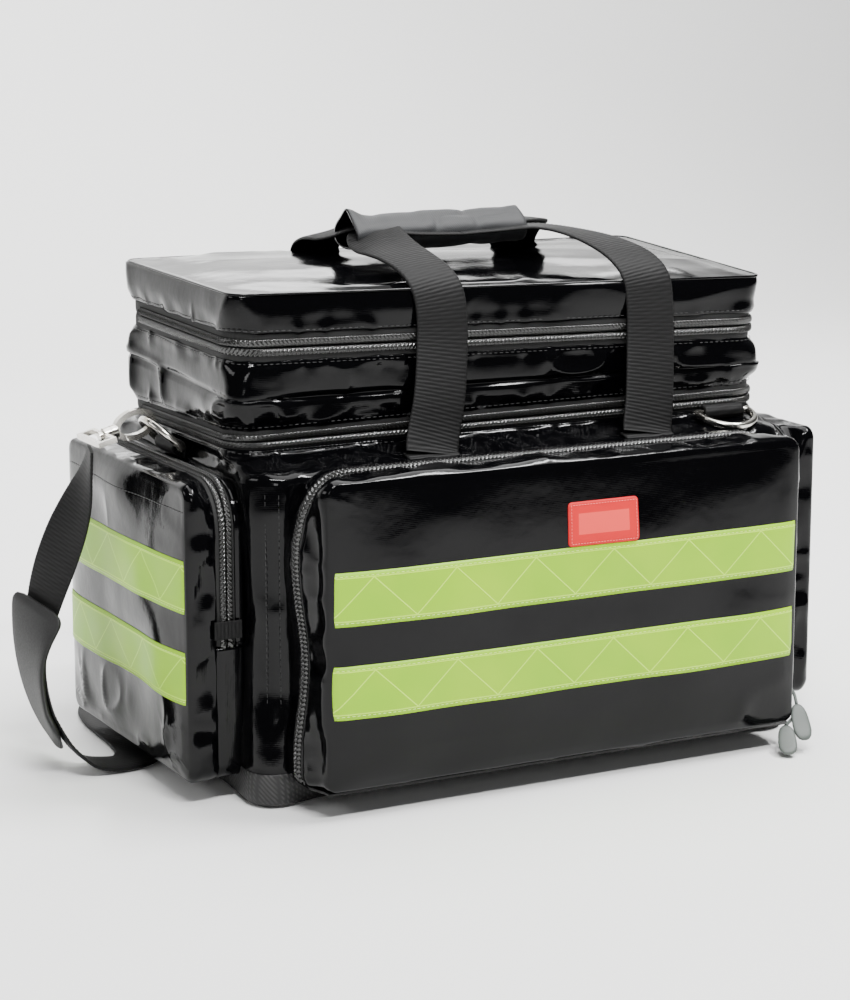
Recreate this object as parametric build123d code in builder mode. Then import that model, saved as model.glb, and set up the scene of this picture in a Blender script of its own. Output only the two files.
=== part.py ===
"""Emergency responder's holdall: padded shell, zipped double lid, three pockets, handles and strap.

Millimetres. +X is the bag's right as seen from the front, -Y is the front and +Z is up.
The origin is on the floor, below the middle of the lid.
"""

import os

from build123d import *

# ---- driving dimensions -------------------------------------------------------------------
body_length = 378.0
body_depth = 238.0
body_wall = 6.0
corner_radius = 22.0

tray_height = 18.0
tray_floor = 3.0
tray_wall = 1.0
shell_floor = 2.0
board_thickness = 4.0
board_margin = 4.0

shoulder_low = 198.0
shoulder_high = 207.0
shoulder_panel = 4.0

lid_length = 374.0
lid_depth = 171.0
tape_wall = 2.0
coil_proud = 2.0
coil_height = 3.0
zip_gap = 0.3
lower_zip_height = 21.0
gusset_height = 34.0
gusset_crease = 4.0
upper_zip_height = 18.0
cover_height = 23.0
cover_wall = 4.0
cover_edge_radius = 8.0
coil_end_margin = 25.0

divider_thickness = 5.0
divider_height = 120.0
divider_offset = 60.0

pocket_wall = 2.5
pocket_bottom = 15.0
pocket_arch_radius = 28.0
pocket_face_radius = 8.0
pocket_zip_width = 14.0
front_pocket_width = 330.0
front_pocket_top = 202.0
front_pocket_depth = 45.0
front_rim_depth = 8.0
side_pocket_width = 195.0
side_pocket_top = 194.0
side_pocket_depth = 36.0
side_rim_depth = 4.0
side_flap_bottom = 97.0

band_height = 32.0
band_thickness = 0.6
upper_band_bottom = 118.0
lower_band_bottom = 62.5
label_width = 49.0
label_height = 27.0
label_thickness = 0.8
label_centre_x = 18.5

handle_width = 35.0
handle_thickness = 2.0
handle_tab_length = 13.0
grip_length = 123.0
grip_centre_x = -10.0
grip_depth = 34.0
grip_height = 26.0
grip_wall = 2.4
grip_bottom = 315.0

ring_half_bar = 19.0
ring_reach = 23.0
ring_wire = 4.4
ring_bar_offset = 4.5
ring_bar_height = 202.5
tab_width = 30.0
tab_thickness = 1.8
fit_gap = 0.3

slider_length = 12.0
slider_width = 9.0
slider_thickness = 4.0
pull_width = 8.0
pull_thickness = 2.0
pull_length = 21.0
tab_pull_width = 14.0
tab_pull_length = 29.0

strap_width = 30.0
strap_thickness = 2.0
pad_width = 50.0
pad_thickness = 5.0
pad_gap = 1.2

# ---- levels and faces that follow from them -----------------------------------------------
lower_split = shoulder_high + lower_zip_height / 2
gusset_low = shoulder_high + lower_zip_height
gusset_high = gusset_low + gusset_height
upper_split = gusset_high + upper_zip_height / 2
cover_low = gusset_high + upper_zip_height
lid_top = cover_low + cover_height
inside_floor = tray_floor + shell_floor
board_top = inside_floor + board_thickness
body_front = body_depth / 2
body_side = body_length / 2
front_face = body_front + front_pocket_depth
side_face = body_side + side_pocket_depth
front_flap_bottom = pocket_bottom + pocket_wall + 2 * fit_gap

os.makedirs("parts", exist_ok=True)


def write(piece, label):
    """Name a finished piece and write it as its own STEP file."""
    piece.part.label = label
    export_step(piece.part, f"parts/{label}.step")


def front_plane(distance):
    """Plane facing the front at the given distance before the origin: x is +X, y is +Z."""
    return Plane(origin=(0, -distance, 0), x_dir=(1, 0, 0), z_dir=(0, -1, 0))


def side_plane(side, distance):
    """Plane facing left (side -1) or right (side 1) at the given distance: y is +Z."""
    return Plane(origin=(side * distance, 0, 0), x_dir=(0, side, 0), z_dir=(side, 0, 0))


def rounded_block(length, depth, radius, bottom, top, mode=Mode.ADD):
    """Upright block with rounded corners."""
    with BuildSketch(Plane.XY.offset(bottom)) as outline:
        RectangleRounded(length, depth, radius)
    extrude(outline.sketch, amount=top - bottom, mode=mode)


def rounded_taper(low_size, high_size, radius, bottom, top, mode=Mode.ADD):
    """Block whose rounded rectangle changes from the low size to the high size."""
    with BuildSketch(Plane.XY.offset(bottom)) as low:
        RectangleRounded(*low_size, radius)
    with BuildSketch(Plane.XY.offset(top)) as high:
        RectangleRounded(*high_size, radius)
    loft([low.sketch.face(), high.sketch.face()], mode=mode)


def lid_tape(bottom, top):
    """Ring of zip tape around the whole lid."""
    inner = (lid_length - 2 * tape_wall, lid_depth - 2 * tape_wall)
    with BuildSketch(Plane.XY.offset(bottom)) as ring:
        RectangleRounded(lid_length, lid_depth, corner_radius)
        RectangleRounded(*inner, corner_radius - tape_wall, mode=Mode.SUBTRACT)
    extrude(ring.sketch, amount=top - bottom)


def lid_coil(bottom, top):
    """Half of a zip coil around the lid's front and sides, standing proud of its tape."""
    outer = (lid_length + 2 * coil_proud, lid_depth + 2 * coil_proud)
    with BuildSketch(Plane.XY.offset(bottom)) as ring:
        RectangleRounded(*outer, corner_radius + coil_proud)
        RectangleRounded(lid_length, lid_depth, corner_radius, mode=Mode.SUBTRACT)
        with Locations((0, lid_depth / 2)):
            Rectangle(2 * lid_length, 2 * coil_end_margin, mode=Mode.SUBTRACT)
    extrude(ring.sketch, amount=top - bottom)


def arch_face(plane, width, low, high, radius):
    """Upright panel outline with a straight bottom and rounded top corners."""
    with BuildSketch(plane) as outline:
        with Locations((0, (low + high) / 2)):
            Rectangle(width, high - low)
        fillet(outline.vertices().group_by(Axis.Y)[-1], radius)
    return outline.sketch.face()


def arch_ring(plane, width, low, high, radius, wall, depth):
    """Arch wall of a pocket, open at its bottom, extruded away from the bag."""
    extrude(arch_face(plane, width, low, high, radius), amount=depth)
    inner = arch_face(plane, width - 2 * wall, low, high - wall, radius - wall)
    extrude(inner, amount=depth, mode=Mode.SUBTRACT)


def coil_ring(plane, width, low, high, depth):
    """Half of a pocket's zip coil, outside the pocket's tape."""
    outer = (width + 2 * coil_proud, low, high + coil_proud, pocket_arch_radius + coil_proud)
    with BuildSketch(plane) as ring:
        with Locations((0, (outer[1] + outer[2]) / 2)):
            Rectangle(outer[0], outer[2] - outer[1])
        fillet(ring.vertices().group_by(Axis.Y)[-1], outer[3])
    solid = extrude(ring.sketch, amount=depth, mode=Mode.PRIVATE)
    hole = extrude(
        arch_face(plane, width, low - 1, high, pocket_arch_radius), amount=depth, mode=Mode.PRIVATE
    )
    add(solid - hole)


def pocket_cup(near_plane, far_plane, width, low, high):
    """Closed pocket front: arched at its zip, square at its face, hollow towards the bag."""
    outer_near = arch_face(near_plane, width, low, high, pocket_arch_radius)
    outer_far = arch_face(far_plane, width, low, high, pocket_face_radius)
    loft([outer_near, outer_far])
    inner_width = width - 2 * pocket_wall
    inner_top = high - pocket_wall
    inner_near = arch_face(near_plane, inner_width, low, inner_top, pocket_arch_radius - pocket_wall)
    inner_plane = far_plane.offset(-pocket_wall)
    inner_far = arch_face(inner_plane, inner_width, low, inner_top, pocket_face_radius - pocket_wall)
    loft([inner_near, inner_far], mode=Mode.SUBTRACT)


# ---- shell, base and what lies inside -------------------------------------------------------
with BuildPart() as base_tray:
    rounded_block(body_length, body_depth, corner_radius, 0, tray_height)
    hollow = (body_length - 2 * tray_wall, body_depth - 2 * tray_wall)
    rounded_block(*hollow, corner_radius - tray_wall, tray_floor, tray_height, Mode.SUBTRACT)

with BuildPart() as main_shell:
    rounded_block(*hollow, corner_radius - tray_wall, tray_floor, tray_height)
    rounded_block(body_length, body_depth, corner_radius, tray_height, shoulder_low)
    rounded_taper(
        (body_length, body_depth), (lid_length, lid_depth), corner_radius, shoulder_low, shoulder_high
    )
    room = (body_length - 2 * body_wall, body_depth - 2 * body_wall)
    mouth = (lid_length - 2 * body_wall, lid_depth - 2 * body_wall)
    room_top = shoulder_low - shoulder_panel
    rounded_block(*room, corner_radius - body_wall, inside_floor, room_top, Mode.SUBTRACT)
    rounded_taper(room, mouth, corner_radius - body_wall, room_top, shoulder_high, Mode.SUBTRACT)

with BuildPart() as base_board:
    board = (room[0] - 2 * board_margin, room[1] - 2 * board_margin)
    rounded_block(*board, corner_radius - body_wall, inside_floor, board_top)

with BuildPart() as divider_panels:
    divider_low = board_top + fit_gap
    with Locations(
        (-divider_offset, 0, divider_low + divider_height / 2),
        (divider_offset, 0, divider_low + divider_height / 2),
    ):
        Box(divider_thickness, room[1] - 2 * fit_gap, divider_height)

# ---- lid: lower zip, gusset, upper zip and cover --------------------------------------------
with BuildPart() as main_zip_lower:
    lid_tape(shoulder_high, lower_split - zip_gap / 2)
    lid_coil(lower_split - zip_gap / 2 - coil_height, lower_split - zip_gap / 2)

with BuildPart() as main_zip_upper:
    lid_tape(lower_split + zip_gap / 2, gusset_low)
    lid_coil(lower_split + zip_gap / 2, lower_split + zip_gap / 2 + coil_height)

with BuildPart() as upper_box_shell:
    full = (lid_length, lid_depth)
    waist = (lid_length - 2 * gusset_crease, lid_depth - 2 * gusset_crease)
    waist_height = gusset_low + gusset_height / 2
    rounded_taper(full, waist, corner_radius, gusset_low, waist_height)
    rounded_taper(waist, full, corner_radius, waist_height, gusset_high)
    inner_full = (full[0] - 2 * cover_wall, full[1] - 2 * cover_wall)
    inner_waist = (waist[0] - 2 * cover_wall, waist[1] - 2 * cover_wall)
    inner_radius = corner_radius - cover_wall
    upper_floor = gusset_low + cover_wall
    rounded_taper(inner_full, inner_waist, inner_radius, upper_floor, waist_height, Mode.SUBTRACT)
    rounded_taper(inner_waist, inner_full, inner_radius, waist_height, gusset_high, Mode.SUBTRACT)

with BuildPart() as top_zip_lower:
    lid_tape(gusset_high, upper_split - zip_gap / 2)
    lid_coil(upper_split - zip_gap / 2 - coil_height, upper_split - zip_gap / 2)

with BuildPart() as top_zip_upper:
    lid_tape(upper_split + zip_gap / 2, cover_low)
    lid_coil(upper_split + zip_gap / 2, upper_split + zip_gap / 2 + coil_height)

with BuildPart() as top_cover:
    rounded_block(lid_length, lid_depth, corner_radius, cover_low, lid_top)
    fillet(top_cover.edges().group_by(Axis.Z)[-1], cover_edge_radius)
    rounded_block(*inner_full, inner_radius, cover_low, lid_top - cover_wall, Mode.SUBTRACT)

for piece, label in (
    (base_tray, "base_tray"),
    (main_shell, "main_shell"),
    (base_board, "base_board"),
    (divider_panels, "divider_panels"),
    (main_zip_lower, "main_zip_lower"),
    (main_zip_upper, "main_zip_upper"),
    (upper_box_shell, "upper_box_shell"),
    (top_zip_lower, "top_zip_lower"),
    (top_zip_upper, "top_zip_upper"),
    (top_cover, "top_cover"),
):
    write(piece, label)

# ---- front pocket ---------------------------------------------------------------------------
front_zip_start = body_front + front_rim_depth
front_zip_split = front_zip_start + pocket_zip_width / 2
front_zip_end = front_zip_start + pocket_zip_width
tape_depth = pocket_zip_width / 2 - zip_gap / 2
front_arch = (front_pocket_width, front_flap_bottom, front_pocket_top)

with BuildPart() as front_pocket_rim:
    arch_ring(
        front_plane(body_front), front_pocket_width, pocket_bottom, front_pocket_top,
        pocket_arch_radius, pocket_wall, front_rim_depth,
    )
    bottom_depth = front_face - pocket_wall - 2 * fit_gap - body_front
    with Locations((0, -body_front - bottom_depth / 2, pocket_bottom + pocket_wall / 2)):
        Box(front_pocket_width - 2 * pocket_wall, bottom_depth, pocket_wall)
    with Locations((0, -body_front - front_rim_depth / 2, pocket_bottom + pocket_wall / 2)):
        Box(front_pocket_width, front_rim_depth, pocket_wall)

with BuildPart() as front_zip_inner:
    arch_ring(front_plane(front_zip_start), *front_arch, pocket_arch_radius, tape_wall, tape_depth)
    coil_start = front_zip_split - zip_gap / 2 - coil_height
    coil_ring(front_plane(coil_start), *front_arch, coil_height)

with BuildPart() as front_zip_outer:
    outer_start = front_zip_split + zip_gap / 2
    arch_ring(front_plane(outer_start), *front_arch, pocket_arch_radius, tape_wall, tape_depth)
    coil_ring(front_plane(outer_start), *front_arch, coil_height)

with BuildPart() as front_pocket_cover:
    pocket_cup(front_plane(front_zip_end), front_plane(front_face), *front_arch)

write(front_pocket_rim, "front_pocket_rim")
write(front_zip_inner, "front_zip_inner")
write(front_zip_outer, "front_zip_outer")
write(front_pocket_cover, "front_pocket_cover")

for label, bottom in (("front_band_upper", upper_band_bottom), ("front_band_lower", lower_band_bottom)):
    with BuildPart() as band:
        with BuildSketch(front_plane(front_face)):
            with Locations((0, bottom + band_height / 2)):
                Rectangle(front_pocket_width, band_height)
        extrude(amount=band_thickness)
    write(band, label)

with BuildPart() as label_patch:
    with BuildSketch(front_plane(front_face)):
        label_bottom = upper_band_bottom + band_height + fit_gap
        with Locations((label_centre_x, label_bottom + label_height / 2)):
            RectangleRounded(label_width, label_height, 1.5)
    extrude(amount=label_thickness)
write(label_patch, "label_patch")

# ---- side pockets ---------------------------------------------------------------------------
side_zip_start = body_side + side_rim_depth
side_zip_split = side_zip_start + pocket_zip_width / 2 - zip_gap / 2
side_zip_end = side_zip_start + pocket_zip_width - zip_gap
side_tape_depth = side_zip_split - side_zip_start - zip_gap / 2
side_arch = (side_pocket_width, side_flap_bottom + fit_gap, side_pocket_top)


def side_pocket(side, name):
    """Fixed trough and rim, split zip, swinging flap and two bands of one side pocket."""
    with BuildPart() as base:
        arch_ring(
            side_plane(side, body_side), side_pocket_width, pocket_bottom, side_pocket_top,
            pocket_arch_radius, pocket_wall, side_rim_depth,
        )
        centre_x = side * (body_side + side_face) / 2
        trough_height = side_flap_bottom - pocket_bottom
        with Locations((centre_x, 0, pocket_bottom + trough_height / 2)):
            Box(side_pocket_depth, side_pocket_width, trough_height)
        trough_middle = pocket_bottom + pocket_wall + trough_height / 2
        with Locations((centre_x - side * pocket_wall / 2, 0, trough_middle)):
            Box(
                side_pocket_depth - pocket_wall, side_pocket_width - 2 * pocket_wall, trough_height,
                mode=Mode.SUBTRACT,
            )
    write(base, f"{name}_pocket_base")

    with BuildPart() as zip_inner:
        inner_arch = (side_pocket_width, side_flap_bottom, side_pocket_top)
        zip_plane = side_plane(side, side_zip_start)
        arch_ring(zip_plane, *inner_arch, pocket_arch_radius, tape_wall, side_tape_depth)
        coil_start = side_zip_split - zip_gap / 2 - coil_height
        coil_ring(side_plane(side, coil_start), *inner_arch, coil_height)
    write(zip_inner, f"{name}_zip_inner")

    with BuildPart() as zip_outer:
        start = side_zip_split + zip_gap / 2
        arch_ring(side_plane(side, start), *side_arch, pocket_arch_radius, tape_wall, side_tape_depth)
        coil_ring(side_plane(side, start), *side_arch, coil_height)
    write(zip_outer, f"{name}_zip_outer")

    with BuildPart() as flap:
        pocket_cup(side_plane(side, side_zip_end), side_plane(side, side_face), *side_arch)
    write(flap, f"{name}_pocket_flap")

    with BuildPart() as upper_band:
        with BuildSketch(side_plane(side, side_face)):
            with Locations((0, upper_band_bottom + band_height / 2)):
                Rectangle(side_pocket_width, band_height)
        extrude(amount=band_thickness)
    write(upper_band, f"{name}_band_upper")


side_pocket(-1, "left")
side_pocket(1, "right")

with BuildPart() as side_bands_lower:
    for side in (-1, 1):
        with BuildSketch(side_plane(side, side_face)):
            with Locations((0, lower_band_bottom + band_height / 2)):
                Rectangle(side_pocket_width, band_height)
        extrude(amount=band_thickness)
write(side_bands_lower, "side_bands_lower")


# ---- webbing --------------------------------------------------------------------------------
def ribbon(stations, width, thickness, lift=0.0):
    """Flat band lofted through stations of (point, direction across its width)."""
    points = [Vector(*point) for point, _ in stations]
    faces = []
    for index, (_, across) in enumerate(stations):
        before = points[max(index - 1, 0)]
        after = points[min(index + 1, len(points) - 1)]
        run = (after - before).normalized()
        flat = Vector(*across)
        flat = (flat - run * flat.dot(run)).normalized()
        plane = Plane(origin=points[index], x_dir=flat, z_dir=run)
        with BuildSketch(plane) as section:
            with Locations((0, lift)):
                Rectangle(width, thickness)
        faces.append(section.sketch.face())
    loft(faces, ruled=True)


# ---- carrying handles -----------------------------------------------------------------------
shoulder_run = (body_depth - lid_depth) / 2
shoulder_rise = shoulder_high - shoulder_low
handle_foot = body_front - 8.5
foot_height = shoulder_low + (body_front - handle_foot) * shoulder_rise / shoulder_run
handle_feet = (-68.0, 86.0)
grip_low = grip_bottom + grip_wall + fit_gap
handle_run_depth = 21.0


def handle(side, layer):
    """One looped handle: two legs up the face and over the lid, and the run inside the grip."""
    height = grip_low + layer
    lid_face = lid_depth / 2 + handle_thickness + 1.5
    for foot_x, waist_x, edge_x, top_x in (
        (handle_feet[0], -58.0, -51.0, -54.0),
        (handle_feet[1], 93.0, 99.0, 34.0),
    ):
        across = (1, 0, 0)
        ribbon(
            [
                ((foot_x, side * handle_foot, foot_height + handle_thickness + 1.4), across),
                ((foot_x, side * (handle_foot - 1.6), foot_height + handle_thickness + 7), across),
                ((waist_x, side * (lid_face + 13), gusset_low + 4), across),
                ((edge_x, side * (lid_face + 2), upper_split), across),
                ((edge_x, side * lid_face, lid_top - 6), across),
                ((edge_x - 4, side * (lid_face - 7), lid_top + 3), across),
                ((edge_x * 0.6 + top_x * 0.4, side * 58.0, lid_top + 9 + layer), across),
                ((edge_x * 0.1 + top_x * 0.9, side * 34.0, lid_top + 12.5 + 1.6 * layer), across),
                ((top_x, side * 22.0, lid_top + 14 + 1.6 * layer), across),
                ((top_x, side * (handle_run_depth / 2 - 2.5), height + handle_thickness / 2), across),
            ],
            handle_width,
            handle_thickness,
        )
    run = grip_length - 4 * fit_gap
    with Locations((grip_centre_x, 0, height + handle_thickness / 2)):
        Box(run, handle_run_depth, handle_thickness)


with BuildPart() as front_handle_webbing:
    handle(-1, 0)
write(front_handle_webbing, "front_handle_webbing")

with BuildPart() as rear_handle_webbing:
    handle(1, handle_thickness + fit_gap)
write(rear_handle_webbing, "rear_handle_webbing")

with BuildPart() as grip_wrap:
    grip_plane = Plane(
        origin=(grip_centre_x - grip_length / 2, 0, grip_bottom), x_dir=(0, 1, 0), z_dir=(1, 0, 0)
    )
    half = grip_depth / 2
    with BuildSketch(grip_plane) as section:
        with BuildLine():
            Polyline(
                (-half, 9), (-half, 4), (-half + 4, 0), (half - 4, 0), (half, 4), (half, 9),
                (4, grip_height - 5), (2.4, grip_height), (-2.4, grip_height), (-4, grip_height - 5),
                (-half, 9),
            )
        make_face()
    extrude(section.sketch, amount=grip_length)
    with BuildSketch(grip_plane) as hollow_section:
        inside = half - grip_wall
        with BuildLine():
            Polyline(
                (-inside, 9), (-inside, grip_wall), (inside, grip_wall), (inside, 9),
                (1.5, grip_height - 6), (-1.5, grip_height - 6), (-inside, 9),
            )
        make_face()
    extrude(hollow_section.sketch, amount=grip_length, mode=Mode.SUBTRACT)
    # each leg enters the wrap through a slot in its long side
    for slot_x in (-54.0, 34.0):
        with Locations((slot_x, 0, grip_low + 2.4)):
            Box(handle_width + 2, grip_depth + 4, 8.2, mode=Mode.SUBTRACT)
write(grip_wrap, "grip_wrap")

with BuildPart() as handle_anchor_tabs:
    for side in (-1, 1):
        for foot_x in handle_feet:
            rise = Vector(0, -side * shoulder_run, shoulder_rise).normalized()
            normal = Vector(1, 0, 0).cross(rise) * -side
            middle = Vector(foot_x, side * handle_foot, foot_height)
            tab_plane = Plane(origin=middle, x_dir=(1, 0, 0), z_dir=normal)
            with BuildSketch(tab_plane) as tab:
                Rectangle(handle_width, handle_tab_length)
            extrude(tab.sketch, amount=handle_thickness)
write(handle_anchor_tabs, "handle_anchor_tabs")


# ---- D-rings and their tabs -----------------------------------------------------------------
def d_ring(plane):
    """D-shaped wire ring: the bar lies along the plane's x, the bow reaches along its y."""
    with BuildSketch(plane) as outer:
        with BuildLine():
            Line((-ring_half_bar, 0), (ring_half_bar, 0))
            ThreePointArc((ring_half_bar, 0), (0, ring_reach), (-ring_half_bar, 0))
        make_face()
        offset(amount=ring_wire / 2)
    with BuildSketch(plane) as inner:
        with BuildLine():
            Line((-ring_half_bar, 0), (ring_half_bar, 0))
            ThreePointArc((ring_half_bar, 0), (0, ring_reach), (-ring_half_bar, 0))
        make_face()
        offset(amount=-ring_wire / 2)
    solid = extrude(outer.sketch, amount=ring_wire / 2, both=True, mode=Mode.PRIVATE)
    hole = extrude(inner.sketch, amount=ring_wire, both=True, mode=Mode.PRIVATE)
    ring = solid - hole
    add(ring.fillet(ring_wire * 0.4, ring.edges()))


def ring_tab(plane, tail_direction, tail_length):
    """Webbing sleeve round a ring's bar, with its sewn tail."""
    hole = ring_wire * 0.62 + fit_gap
    with BuildSketch(Plane(origin=plane.origin, x_dir=plane.y_dir, z_dir=plane.x_dir)) as sleeve:
        Circle(hole + tab_thickness)
    extrude(sleeve.sketch, amount=tab_width / 2, both=True)
    tail = Vector(*tail_direction).normalized()
    middle = plane.origin + tail * (tail_length / 2)
    with BuildSketch(Plane(origin=middle, x_dir=plane.x_dir, z_dir=plane.x_dir.cross(tail))) as strip:
        Rectangle(tab_width, tail_length)
    extrude(strip.sketch, amount=tab_thickness / 2, both=True)
    with BuildSketch(Plane(origin=plane.origin, x_dir=plane.y_dir, z_dir=plane.x_dir)) as bore:
        Circle(hole)
    extrude(bore.sketch, amount=tab_width, both=True, mode=Mode.SUBTRACT)


ring_x = body_side + ring_bar_offset
left_ring_reach = Vector(-0.707, 0, 0.707)
right_ring_reach = Vector(0.9397, 0, 0.342)
front_ring_reach = Vector(0, -0.9636, -0.2675)
left_ring_plane = Plane(
    origin=(-ring_x, 0, ring_bar_height), x_dir=(0, -1, 0),
    z_dir=Vector(0, -1, 0).cross(left_ring_reach),
)
right_ring_plane = Plane(
    origin=(ring_x, 0, ring_bar_height), x_dir=(0, 1, 0),
    z_dir=Vector(0, 1, 0).cross(right_ring_reach),
)
front_ring_origin = Vector(153.0, -lid_depth / 2 - 8.0, shoulder_high + 3.0)
front_ring_plane = Plane(
    origin=front_ring_origin, x_dir=(1, 0, 0), z_dir=Vector(1, 0, 0).cross(front_ring_reach)
)

with BuildPart() as side_rings:
    d_ring(left_ring_plane)
    d_ring(right_ring_plane)
write(side_rings, "side_rings")

with BuildPart() as front_d_ring:
    d_ring(front_ring_plane)
write(front_d_ring, "front_d_ring")

with BuildPart() as ring_tabs:
    ring_tab(left_ring_plane, (0.45, 0, -1), 8.2)
    ring_tab(right_ring_plane, (-0.45, 0, -1), 8.2)
    ring_tab(front_ring_plane, (0, 1, 0), 7.7)
write(ring_tabs, "ring_tabs")

# ---- snap hooks -----------------------------------------------------------------------------
hook_thickness = 5.0
hook_outer = (14.0, 9.3)
hook_inner = (10.5, 5.8)
wire_place = 7.5
gate_from = -6.0
gate_to = 8.0
gate_slack = 0.3
gate_hinge_slack = 1.0
post_radius = 2.4
boss_start = 16.2
boss_end = 20.6
boss_radius = 4.4
head_end = 23.0
head_radius = 3.6
eye_inner_start = 19.5
eye_inner_end = 22.0
eye_outer_start = 28.5
eye_outer_end = 31.5
eye_half = 19.0
eye_wire = 3.2
eye_bar_place = (eye_outer_start + eye_outer_end) / 2


def ellipse_block(plane, radii, depth, mode):
    """Elliptical disc centred on a plane."""
    with BuildSketch(plane) as shape:
        Ellipse(*radii)
    return extrude(shape.sketch, amount=depth / 2, both=True, mode=mode)


def window(plane, low, high, bottom, top, depth, mode):
    """Rectangular block between two corners of a plane."""
    with BuildSketch(plane) as shape:
        with Locations(((low + high) / 2, (bottom + top) / 2)):
            Rectangle(high - low, top - bottom)
    return extrude(shape.sketch, amount=depth / 2, both=True, mode=mode)


def round_post(plane, radius, start, end, mode=Mode.ADD):
    """Round bar along a plane's x direction."""
    foot = plane.origin + plane.x_dir * start
    with BuildSketch(Plane(origin=foot, x_dir=plane.y_dir, z_dir=plane.x_dir)) as disc:
        Circle(radius)
    extrude(disc.sketch, amount=end - start, mode=mode)


def snap_hook(plane, name):
    """Snap hook, its swivelling eye and its gate. The plane's x points from the ring to the eye."""
    with BuildPart() as frame:
        ellipse_block(plane, hook_outer, hook_thickness, Mode.ADD)
        ellipse_block(plane, hook_inner, 2 * hook_thickness, Mode.SUBTRACT)
        window(plane, gate_from, gate_to, -2 * hook_outer[1], -1.0, 2 * hook_thickness, Mode.SUBTRACT)
        round_post(plane, boss_radius, hook_inner[0] + 1.5, boss_start - gate_slack)
        round_post(plane, post_radius, hook_inner[0] + 1.5, head_end)
        round_post(plane, head_radius, eye_inner_end + gate_slack, head_end + 1.0)
    write(frame, f"{name}_hook")

    with BuildPart() as gate:
        ellipse_block(plane, hook_outer, hook_thickness, Mode.ADD)
        ellipse_block(plane, hook_inner, 2 * hook_thickness, Mode.SUBTRACT)
        window(
            plane, gate_from + gate_slack, gate_to - gate_hinge_slack, -2 * hook_outer[1],
            -1.0 - gate_slack, 2 * hook_thickness, Mode.INTERSECT,
        )
    write(gate, f"{name}_hook_gate")

    with BuildPart() as eye:
        eye_plane = Plane(origin=plane.origin, x_dir=plane.x_dir, z_dir=plane.y_dir)
        window(eye_plane, eye_inner_start, eye_outer_end, -eye_half, eye_half, eye_wire, Mode.ADD)
        inner_half = eye_half - 2.8
        window(
            eye_plane, eye_inner_end, eye_outer_start, -inner_half, inner_half, 2 * eye_wire,
            Mode.SUBTRACT,
        )
        round_post(plane, boss_radius, boss_start, boss_end)
        round_post(plane, post_radius + 0.25, boss_start - 1, eye_inner_end + 1, Mode.SUBTRACT)
    write(eye, f"{name}_hook_eye")


left_wire = left_ring_plane.origin + left_ring_reach * ring_reach
left_hook_run = Vector(-0.9659, 0, -0.2588)
left_hook_plane = Plane(
    origin=left_wire + left_hook_run * wire_place, x_dir=left_hook_run, z_dir=(0, 1, 0)
)
bow_radius = (ring_half_bar**2 + ring_reach**2) / (2 * ring_reach)
bow_centre = ring_reach - bow_radius
diagonal = 0.7071
right_hook_run = (right_ring_reach + Vector(0, 1, 0)).normalized()
right_wire = (
    right_ring_plane.origin
    + right_ring_reach * (bow_centre + bow_radius * diagonal)
    + Vector(0, 1, 0) * (bow_radius * diagonal)
)
right_hook_plane = Plane(
    origin=right_wire + right_hook_run * wire_place,
    x_dir=right_hook_run,
    z_dir=(Vector(0, 1, 0) - right_ring_reach).normalized(),
)
snap_hook(left_hook_plane, "left")
snap_hook(right_hook_plane, "right")


# ---- zip sliders and pulls ------------------------------------------------------------------
def box_between(low, high):
    """Box between two opposite corners."""
    middle = tuple((a + b) / 2 for a, b in zip(low, high))
    size = tuple(b - a for a, b in zip(low, high))
    with Locations(middle):
        Box(*size)


slider_y = lid_depth / 2 - coil_end_margin - slider_length - 2
slider_x = lid_length / 2 + coil_proud + fit_gap
for name, split in (("main", lower_split), ("top", upper_split)):
    with BuildPart() as slider:
        box_between(
            (slider_x, slider_y, split - slider_width / 2),
            (slider_x + slider_thickness, slider_y + slider_length, split + slider_width / 2),
        )
        fillet(slider.edges().filter_by(Axis.X), 1.5)
    write(slider, f"{name}_zip_slider")
    with BuildPart() as pull:
        pull_x = slider_x + slider_thickness + 2 * fit_gap
        pull_y = slider_y + slider_length / 2
        box_between(
            (pull_x, pull_y - pull_width / 2, split - pull_length + 1),
            (pull_x + pull_thickness, pull_y + pull_width / 2, split + 1),
        )
        fillet(pull.edges().filter_by(Axis.X), 2.0)
    write(pull, f"{name}_zip_pull")

for side, name in ((-1, "left"), (1, "right")):
    coil_face = side_pocket_width / 2 + coil_proud + fit_gap
    centre = side * side_zip_split
    low = side_flap_bottom + 3.0
    with BuildPart() as slider:
        box_between(
            (centre - slider_width / 2, coil_face, low),
            (centre + slider_width / 2, coil_face + slider_thickness, low + slider_length),
        )
        fillet(slider.edges().filter_by(Axis.Y), 1.5)
    write(slider, f"{name}_zip_slider")
    with BuildPart() as pull:
        pull_face = coil_face + slider_thickness + 2 * fit_gap
        box_between(
            (centre - pull_width / 2, pull_face, low + slider_length / 2 - pull_length),
            (centre + pull_width / 2, pull_face + pull_thickness, low + slider_length / 2),
        )
        fillet(pull.edges().filter_by(Axis.Y), 2.0)
    write(pull, f"{name}_zip_pull")

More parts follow.
